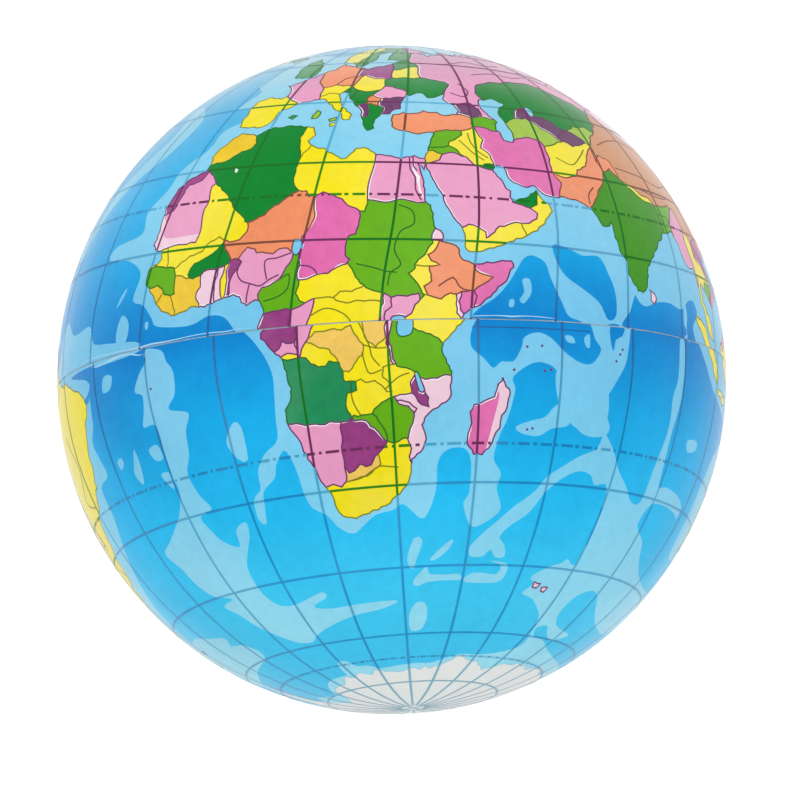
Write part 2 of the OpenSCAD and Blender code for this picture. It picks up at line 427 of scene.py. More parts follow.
# Borders between neighbours. A line may run past the line it ends on.
BORDERS = """
-10.8,31.2 -8,31.4 -6,32 -4,33.5 -2,34 -1.5,35.3 -2,36 -2.6,37.8
-11.4,30.3 -9.7,29.8 -8,28.7 -6.5,27 -5,26.2 -3,24.7 -1,22.8 1.5,20.5 3,19 3.6,18.8
3.6,18.8 5,19.3 6.5,20 8,21.7 9.7,23 10.5,23.8 11.8,24.4
11.8,24.4 10.6,25.5 10,27 9.8,29 10,31 9.6,32.5 8.8,34.3 8.2,35.8 8.6,37.5 8.7,39.5
10,31 10.3,32.3 11,33 11.6,34.6
-9.7,29.8 -10.5,28 -11.5,27.7 -13.3,27.4 -13.8,26.5 -14,24.5 -14.5,22.5 -17.6,21.7
-6.5,27 -7.2,26.5 -6.8,22 -6.2,16 -9,15.9 -12.8,15.6 -14,15.2 -14,14.6
-12.4,15.9 -11.5,14 -11,12.1
-16.4,12.8 -14,12.8 -12,12.5 -10.5,12.3 -9.3,12 -8.7,11 -8.4,9.5 -8,7.8 -8.8,7.6 -10.2,7.9 -11.2,9
    -12.3,9.6 -13.8,9.3 -15.9,10.4
-10.6,8.3 -11.3,7.3 -12.2,6.6 -13,6
-8.8,7.6 -8,6.3 -7.3,5 -7.2,3.6
-8.6,10.7 -7,10.5 -6,10 -4.5,9.8 -3,10.2 -2.8,9.3 -2.6,8.2 -3.2,7.3 -3,6.3 -2.3,5.5 -2.2,4.2
0,15.5 1.3,13.8 2.5,12.3 1.3,11.3 -1,11 -2.5,10.8 -3,10.2
0,15.5 -1.5,13.8 -3.5,12.8 -5,12.3 -5.8,10.6 -5.3,9.7
-9.4,11.8 -8,12.8 -6.5,13.7 -4,14.3 -3,15.8 -1.3,16.6 0,15.9 1,15.5 3,15.8 4,17.2 3.6,18.8
0,15.9 0,15.5
0.3,11.4 0.2,9 0.4,7 0.5,4.6
1.5,11.6 1.2,9 1.5,7.5 2,5
2.3,12.3 2.3,9.5 2.6,7.5 2.7,5
2.5,12.3 3.8,12.4 4.6,11.8 4,10.5 3.2,9 3.3,7.3 3,5
3.8,12.4 4.4,13.5 5,14.3 6.5,13.9 7,13.2 9,13 10.2,12.8 11,13.6 12.5,13.7 13.8,12.7
13.8,12.7 13.6,11 12.8,9.3 12,8 10.8,7.3 9.5,7 8.8,5.9 9.3,4.2
14.5,12.9 15.3,11 15.2,9 15.8,7.5 15.5,5.5 16.3,4.2 17.3,3.7
9.4,2.6 12,2.8 14,3 15,2.7 16.5,3.2 17.3,3.7
15.4,23.6 15.3,22 15.9,20 15.6,17.5 14.5,14.7
11.8,24.4 13.3,24.3 14,23.2 15.4,23.3 16.5,24 18.5,23.3 21,21.8 23.8,20.3 24.7,20.2
24.9,32.5 24.9,22.4 24.7,20.2
24.9,22.4 30,22.4 33,22.2 36.6,22.3
23.8,20.3 24.1,17.5 23.9,16 22.8,15.6 22.6,13.5 22.9,12 23.8,11.2 23.4,10.3 22,9.8 20.5,8.7 18,8.3
    16.5,7.8 15.2,8
23.3,10.8 24.5,9.3 25.3,7.8 26.8,6.3 28.5,5.2 30.3,4.7 31.5,3.9 32.5,4.2 35,4.3 36.1,4.5 36.4,3.1
    37.3,2.6 37,4 36.3,5.3
17.3,3.7 18.5,4.3 20,4.4 22,4.3 23,5.3 25,5.2 27,6.2
22,4.3 23,3.6 25,3.3 28,3.5 30.6,3.1
30.3,4.7 30.4,3 30,0.5 29.8,0 29.3,-1.5 29.7,-4 30.3,-6 30.8,-8.3
37.6,17.8 37,15.3 37.3,14.3 36.3,12 35.3,11 34.8,10 35,9.3 34,8.3 35.3,6.8 36.3,5.3
38.4,15 37.8,12.8 36.8,12 37.5,10.8 39,10 37,9.7 34.5,9.8
37,14.9 38.9,14.7
37.3,9.7 37.8,8 38,6.8 36.8,5.8 37.6,4.1
44.3,11.2 45,9.5 46,8.5 48.3,7.7 46,5.8 45.3,5 44.6,5 43.2,4.8 42.3,4.3 41.3,4.5 39.8,3.4 38.5,3.8
    36.9,4.3
42.3,4.3 42.4,2.5 42.6,1 43.9,-1
43.2,4.8 42.8,3 43.2,1.5 44.2,0.2
45.3,5 45.8,4 45.5,2.5 45.4,1.2
34.3,-1.4 35,-1.9 37,-2.5 38.3,-3.3 39.5,-5.1
34,0.3 35.1,1 35.6,2.5 36.4,3.4
31.7,0.2 30.8,-0.2 30.8,1.5 31.8,2.3 31.6,4.2
29.8,0 30.8,-0.2 30.3,-2.2 30.2,-4 30.7,-6.3 31.3,-8.7
30.8,-8.3 32,-9 33.5,-9.5 34.3,-10.2 34.8,-11.2 36,-11.8 38,-11.6 39.3,-10.9 41,-11.2
11.4,-5.5 14,-5.8 16.3,-5.8 17,-7 18.3,-7.8 19.5,-7.8 20.2,-6.8 21.8,-7.2 22.3,-9 22.5,-11.3 24.3,-11.4
    24.3,-13.2 22.7,-13.6 22.3,-15 22.3,-17 23,-18.4
24.3,-11.4 25.2,-11 26,-11.8 27.5,-11.5 28.5,-12.5 29.3,-13.9 30.2,-14 29.8,-12 28.9,-11 29,-8.8 30.8,-8.3
14.6,3.2 14.7,0 14.6,-2.5 15,-4.5 14.8,-6
18.8,4.5 18.5,2 17.8,0 16.3,-3 15.5,-5 14.8,-6
10.2,-4.3 11.8,-3.6 12.3,-2.3 13.2,-2.8 14.7,-2.6
12,-5.3 13.3,-4.6 14.9,-5
16.2,-3.2 16.7,-2.4 18,-1.2 20.5,-1 22.5,-1.2 24,-0.5 25,-2.5 26,-4 25.8,-6 24.3,-7.8 23.3,-9.3 22,-9.1
21.7,-8 21.5,-6.5 20.3,-4.5 18,-3.6 16.4,-2.9
26,-0.8 27.5,-0.2 29.5,-1 29.6,-3 28,-4.6 26.6,-3.4 26,-0.8
22.3,-17.5 24,-18.2 26.5,-17.9 28.3,-16 30.5,-15 31.5,-14.7 33.5,-14.5 33.8,-11.5 33.4,-9.3
33.5,-14.5 34,-14.9 35,-16.8 36.3,-17.3 36.3,-15.5 35.5,-13.8 34.6,-11
33.8,-11.5 34.4,-10
30.5,-15 31.2,-16.5 32.8,-17 33.6,-18 33.4,-20 32.5,-22.3 30,-23 28.8,-22.6 28.8,-21.8 28,-20 26.5,-17.9
30.9,-15.8 33,-16.3 34.2,-17.5 33.6,-18.5
32.3,-22.2 33,-24 32.7,-26 33.6,-27.2
10.8,-18.2 13,-18.2 15.5,-18.7 19,-18.6 21,-18.9 22.3,-18.9 23,-18.2
21,-18.9 20.8,-22 20.6,-26.3 20.5,-28.7 19.5,-29.5 18,-28.9 16.8,-29.2 15.6,-29.2
22.3,-18.9 23.5,-18.9 25.3,-19 26,-20 27.3,-21 28.2,-22.3 28.8,-22.6 27,-24.5 25.5,-26.3 24.5,-26.5
    23.5,-26 22.3,-27 21.3,-27.3 20.6,-26.3
27,-24.5 27.3,-26.3 25.5,-27.6 22.5,-28.4 20.5,-28.7
42,17.6 43.2,18.3 45,17.8 46.3,17 46.5,15.8 47.3,16.5 48.8,18.3 51,19 53.5,19.2 56,20.3 56.2,21.3
    54.8,22.2 52.5,22.8 51.5,23 51.3,23.9
52.9,19.4 53.2,18.3 54,16.6
54.8,22.2 56.3,23 56.5,24.8 57,26.3
48.9,29.6 47.5,29.2 46,29.6 44.3,30.1 42.8,31.8 40.5,32.5 38,32 37.5,30.8 35.5,30
37.9,32.1 36.2,32.8 34.8,32.8
34.6,31.2 34.8,29.5
44.3,30.1 44,31 41,33.2 39.3,34 39.5,35 42.2,36.8 42.2,38
39.3,34 37,33.6 35,33.5
35.8,36.3 36.6,37.4 38,37.6 41,37.9 44,38.3 45,38.9 46.8,36 46,34 47.8,32.5 48.3,30.8 48.6,29.4
46,29.6 46.4,30.4 48.4,30.4
45,38.9 44.9,41.4 41.3,41.9
45,38.9 47.2,39 49,38.3 51.2,38.5
44.9,41.4 47.5,41.9 50.8,41.3
41.8,43.2 43,45.2 45.5,45.6 47.3,44 47.5,41.9
39.3,44.6 43,45.2
52.8,36.3 54,36.6 55,37 57,37.5 59,37.3 60.5,36.8 61,35.8 61.3,33 61,30.2 62.5,28 61.8,26.5 61.5,24.3
61,35.8 63,36.3 65,37.3 67,37.8 69,36.8 71,37.3 74,38.5 75,37.6 71.8,34.8 70.3,32.5 67.5,31.3 66.5,29.8
    63,29.3 61,30.2
67.3,23.2 69,24.3 70.5,26 72,28 73.7,29.8 75,32 74.2,34 75,37.6
75,32 77.5,33 79.3,31.2 82,30 85,28.5 88,27.9 88.6,26.9 88.9,25.2 88.7,23.4 89.2,21.2
79.3,31.2 81,29.5 84,27.9 88.6,26.9
74.2,34 76,35.8 79,34.8 79.3,31.2
75,37.6 76.5,39.3 80,41.8 83,44 85,47 87.5,49
88.6,26.9 91.5,27.2 95,28 97.8,27.7 98.7,24.2 101,21.5 102.2,22.3 105,23 108,21.5
88.9,25.2 91.8,25.3 92.5,23.8 92.5,22
92.5,23.8 94,25.5 97,27.8
97.8,27.7 98.7,24.2 97.5,21 98.3,17.5 99,14 98.6,11
101,21.5 100.5,19 103,18 105,16 107.5,15
102.2,22.3 104.5,19 107,16.5 107.5,14 106,11.5 104.3,10.3
102,12.8 103.2,14.3 107.5,14
49,47.3 48,49 49.5,52 54,53.5 60,54.3 66,55 73,54.5 78,53 84,51 87.5,49
55,46.5 54.8,44.5 56,42.3 57.3,44.8 60.5,46
54.8,44.5 53.2,42.2 52.3,41.6
53.6,41 56,42.3 59,42.8 61.5,41 64,39.5 66.5,37.7
60.8,43.5 63.5,43 66,42.8 68,41 70,40.8
62,43.5 66,42.8
66.5,37.7 66.3,39 68,40.2 70,40.8 72,40 74,38.5
70,40.8 73,42.5 77,43 80,41.8
87.5,49 92,50.7 98,52 102,51 108,49.5 114,50 119.5,50 121,53.5 126,53 131,48 135,48.4 133,45 130.4,42.3
87.5,49 91,46 96,43 105,41.8 111,43.5 117,46.5 119.7,47 119.5,50
124.3,39.6 127,41.8 130.7,42.6
125.6,37.9 128.9,38.4
8,47 7.5,49.8 5,52 3.5,56.2
7.5,49.8 10.5,50.7 14,50.5 15.5,49.8 13.3,47.9
8,47 10,47.9 12.6,47.6
8,47 8.2,45.7
10.5,50.7 12,52.8 15.3,53.6 15.8,58.3
15.3,53.6 17.5,54.6 20,53 23.8,52.6 25.3,53.2 25,58.6 24.3,59.8
15.5,49.8 16.2,52.2 17.5,54.6
23.8,52.6 24,50 23.3,48.8 20.5,48.2 17,48.8 15.5,49.8
25.3,53.2 29,53.3 33.5,53.5 33,58.8 29.8,61.4
25,56.3 29,57.5 33,58
33.5,53.5 37.5,52.8 41.3,51.3 40,49.6 38.7,47.6
24,50 27,49.3 29.7,48.3 29.6,46.3
23.3,48.8 21.4,47 23.8,46 27,46.4 29.5,46.3
21.4,47 20.3,46 20.5,44.4 23.3,43.9 23.8,46
17,48.8 16.8,47 15.5,45.8
20.5,44.4 19.2,44.4 18.3,43.4
20.5,44.4 21.3,42.6 21.5,40.9 19.6,40.8
23.3,43.9 24.7,43.4 26,44 27.5,42
24.7,43.4 24.3,41
-2.3,47.9 0.3,46.6 3.5,44.6
18.5,71.5 20,69 25.5,69.5 28.5,69.3 28,72.2
20,69 16,66 13.5,62 12.3,58.7
25.5,69.5 24.6,66.6
28.5,69.3 31.5,66 31,63 28,61
-141,70.5 -141,60.3 -137,58.8 -130.5,56 -131,54.6
-125,49 -95,49 -90,48 -84.5,46.7 -82.5,43 -79,43.3 -75,45 -71,45.2 -69,47.3 -67.5,47 -66.8,44
-118,32.6 -111,31.3 -106.5,31.8 -103,29 -101,29.7 -97,25.8
-92.5,14.2 -92,17.5 -89.2,17.8 -88,18.3
-89.2,17.8 -89.5,14.5 -88,12.7
-89.5,14.5 -86.5,13.9 -83,15
-86,11.2 -83.2,10.6
-83.2,9.6 -82.7,7.8
-77.3,8.9 -77.5,7.2 -78.5,6.8
-71.3,12.3 -72.5,7.5 -67.5,6 -67,1 -70,0.8 -69.8,-4.2
-79.5,0.9 -76,0.2 -73,-2.3 -69.8,-4.2
-80.6,-3.3 -78.5,-4.6 -75.3,-0.2
-69.8,-4.2 -73.5,-7 -70.5,-9.5 -69.5,-11 -65.3,-10.5 -60.3,-14 -58,-17.5 -58,-20 -54.5,-24.5 -53.7,-27
    -57.5,-30 -53,-33.8
-69.5,-11 -69.2,-15 -69.5,-18.3 -71,-18.6
-69.5,-18.3 -67.8,-22.5 -66,-22 -62.5,-22.3 -58,-20
-67.8,-22.5 -69.5,-27 -70.3,-33 -71.3,-39 -72,-46 -72.3,-51.5 -68.5,-52.3 -68.5,-55.3
-62.5,-22.3 -58,-27 -54.5,-27 -54.5,-24.5
-57.5,-30 -58.3,-34.8
-67.5,6 -64,4 -60.5,5 -61,8.8
-60.5,5 -60,1.8 -56.5,2 -52,2 -51.3,4.6
-57.3,6.5 -56.5,2
-54,6 -54,2
129,-14.5 129,-32.3
138,-15.5 138,-26 129,-26
138,-26 141,-26 141,-38.8
141,-29 153.8,-28.5
141,-34.2 146,-36 150.3,-37.8
141,-2 141,-9.5
109.3,2.2 111.5,1 115,2.5 117.5,4.2 118.8,4
"""
# Where one ink stops inside a country with no line of its own.
TONES = """
48.4,-12.8 48.6,-15.8 47.7,-20 46.9,-23.3 46.2,-26
-18,22.4 -15.3,20.5 -14.6,18 -12,17.3 -5,17.6
"""
# Lines inside a country, such as rivers and provinces, drawn in the border ink.
INNER = """
4.4,11.7 4.2,10 5.3,8.5 7,7.9 9,7.3 10.3,8.2 12,9
7,7.9 6.8,6 6.9,4.6
10,8.3 9,11.6 11,12 13.4,12.8
12.4,8.2 13.8,9 14,6.5 12.5,5.2 10,4.6
18.5,1.5 20.5,2.5 22.5,2.2 24.5,1 25.5,-0.5 26.3,-2.5 27,-4.5 27.3,-6.5 28.5,-8.5
25.8,-4 28,-4.8 29.7,-4.8
25.7,-5.5 26.2,-8.5 26.8,-10 28.8,-9.3
39.2,5.8 41.5,7.5 42.5,6 43.5,5.2 44.6,5
29,-13.5 31.5,-11 33.3,-10.3
23.6,-11.5 23.3,-13.5 23.6,-16 24.5,-18
30.5,21.5 33,20.5 33.6,18 31.5,16.5 31,13 32.5,10 31,8.5 30.8,6
25,10.3 28,9.5 30,8.8 32,8.5
20.8,-28.7 23.5,-28.3 25.5,-27.3 27,-26.6 29,-26.8 30.5,-27
41.5,35.5 43,34 44.5,32.5 46.5,31.2
43.5,37.3 44,35 45.5,33 47.3,31.8
32.3,31.2 32.5,29.3 33.3,28.3
31.6,31 32,28.5 33,27 33.3,24.5 34.5,22.5
15.4,10.4 17,10.2 18.3,9.3 18.7,8.5
63,33.5 66.5,32.3 69.5,34.3 72,36.5
68.3,24.4 68.5,26.3 70.3,28
44,52 46,49.5 44.5,47.5 41,48.5
50,56 58,57.5 66,57 74,58.5 82,57 88,59
36,60 44,60.5 52,62.5 60,61.5 68,63
75,66 77,60 84,55.5 92,54
102,71 106,64 108,58 104,54
78,38.5 84,40.5 92,41.5 100,40
80,33.5 88,33 96,32 103,33 108,31
86,29.8 92,29.2 97,29.6
-109,49 -109,37 -103,37 -103,42 -96,42.5 -91,40
-109,37 -114,37 -114,42 -120,42
-100,49 -96.5,46 -96.5,42.5
-95,37 -94.5,33 -89,35 -80,36.5
-110,60 -120,60 -139,60
-95,60 -95,53 -89,56.8
-110,49 -110,60 -95,60
-63,-1 -60,-3 -54,-2.3 -50,-1
-50,-9 -46,-15 -50,-20 -45,-22
"""
# One point in each coloured area, by ink.
SEEDS = {
    "yellow": """
        -4,44 13,45 9.8,36.5 17,28 -4,20 -10.5,14 -6,12.5 1.8,9 20,7 25,4.5 21,3 27.5,-7.5 21.5,0.5
        14,-5.3 26,-15 31.5,-12 39.5,1 39.5,-1 20,-32 31,-25 35.8,10.8 35.5,8.3 49,16.5 44.5,15.5
        56.5,20.5 45,34 40.5,34 66,34.5 84,28.9 28.5,55.5 20,51 -43,-10 99.8,1 113,0.8 113,-0.8
        102,-2.5 -102,24 -67.5,-30 -100,56 134,-26 14.3,38.8 108,-7.3 28.5,-8 9.5,48.7 24,-29.5
        100.5,16 -13,14 -85,13 176,-39 12,64 19,-5.5""",
    "apricot": "22.5,-4.5 28,-3 20,-2.5 23.5,-8 24,-27.3",
    "amber": """
        -6,35 -60,-24 -6,8 -9,6.5 -12.3,8 -64,2.5 127.5,40 146,-36 36.8,31 128,37""",
    "green": """
        0,30 3,36 -2,12.5 30,51.5 56,50 66,49 75,47 -3,59 22.5,40.5 22.6,42.8 54.5,23.6 47,29.7 30,66
        28.5,63.5 -110,40 -80,38 -65,-17 172,-43.5 -90,15.8 53.8,43.5 18.2,46 28,60 28,59.3""",
    "leaf": """
        30,12 30,18 -12,11 12,6 14.2,11.5 35,-6 31,-20 37.8,35.3 38.7,33 91,26.2 90,24 90.8,24 -73,3
        -73,5 122,-25 31.5,7 47.5,40.3 104.5,13 -77,-1.5 -77.5,-1 145,-22""",
    "fern": "78,22",
    "lime": "58,39 72,41.5 9.6,41.5 14,40.2",
    "teal": "4,41.2 16,-12 18,-16 -71,-36 -72,-44",
    "salmon": """
        10,18 41,11 41,6 36,39.5 11,55 22,45.3 67,27 72,32 -152,65 -75,-10 140,38 145,-7.5 137.5,-4.5
        14.2,52.4 76.8,34""",
    "clay": "85,36 100,33 110,30 115,38 120,45",
    "rose": """
        19,17 19,13 55,32 48,9 44.3,2.7 46.5,-19 46,-23 -56,4 106.3,17.8 22,12 114,3.5""",
    "pink": """
        29,27 45,24 40,31 -12,20 7,11 8.5,8.5 5,7.5 9.5,9.5 12,11 16.5,1 16,-2 33.5,2.5 13,-3.7 60,60
        100,62 45,49 130,64 160,66 25,47.5 3,50.5 95,20 95,23 -70,8 -66,8 17,-24 160,60 36,55 143,50
        30.7,2.4""",
    "blush": """
        37.5,-14 34.3,-19.5 -1.5,8 81.5,6.5 42.6,3 43,1 49.2,-14.5 30.1,-2.5 30.3,-5 0.8,8 32.5,-16.7
        34.3,-22 33.9,-23.5 38,16 34,-17 30.3,-0.4 30.2,-0.8 38.1,16 100,46 66,-48.7 69,-49.4 -13,16.8""",
    "plum": """
        12,1 12,-1 24,-23 3,10 3.1,7 3.9,11.5 21.5,55 -15.5,24 -11.5,28.5 35.5,-16 102.2,20.5 -82,8.8
        34.1,-13.4""",
    "wine": "26.5,45 45,43.5 44,43 20.5,42 18.9,43.9 26,42.6 58.5,44 65,40.5 69,38.5",
    "snow": "40,-74 -40,75 -69,65.5 -110,71 60,73.5 18,79 180,-82",
}
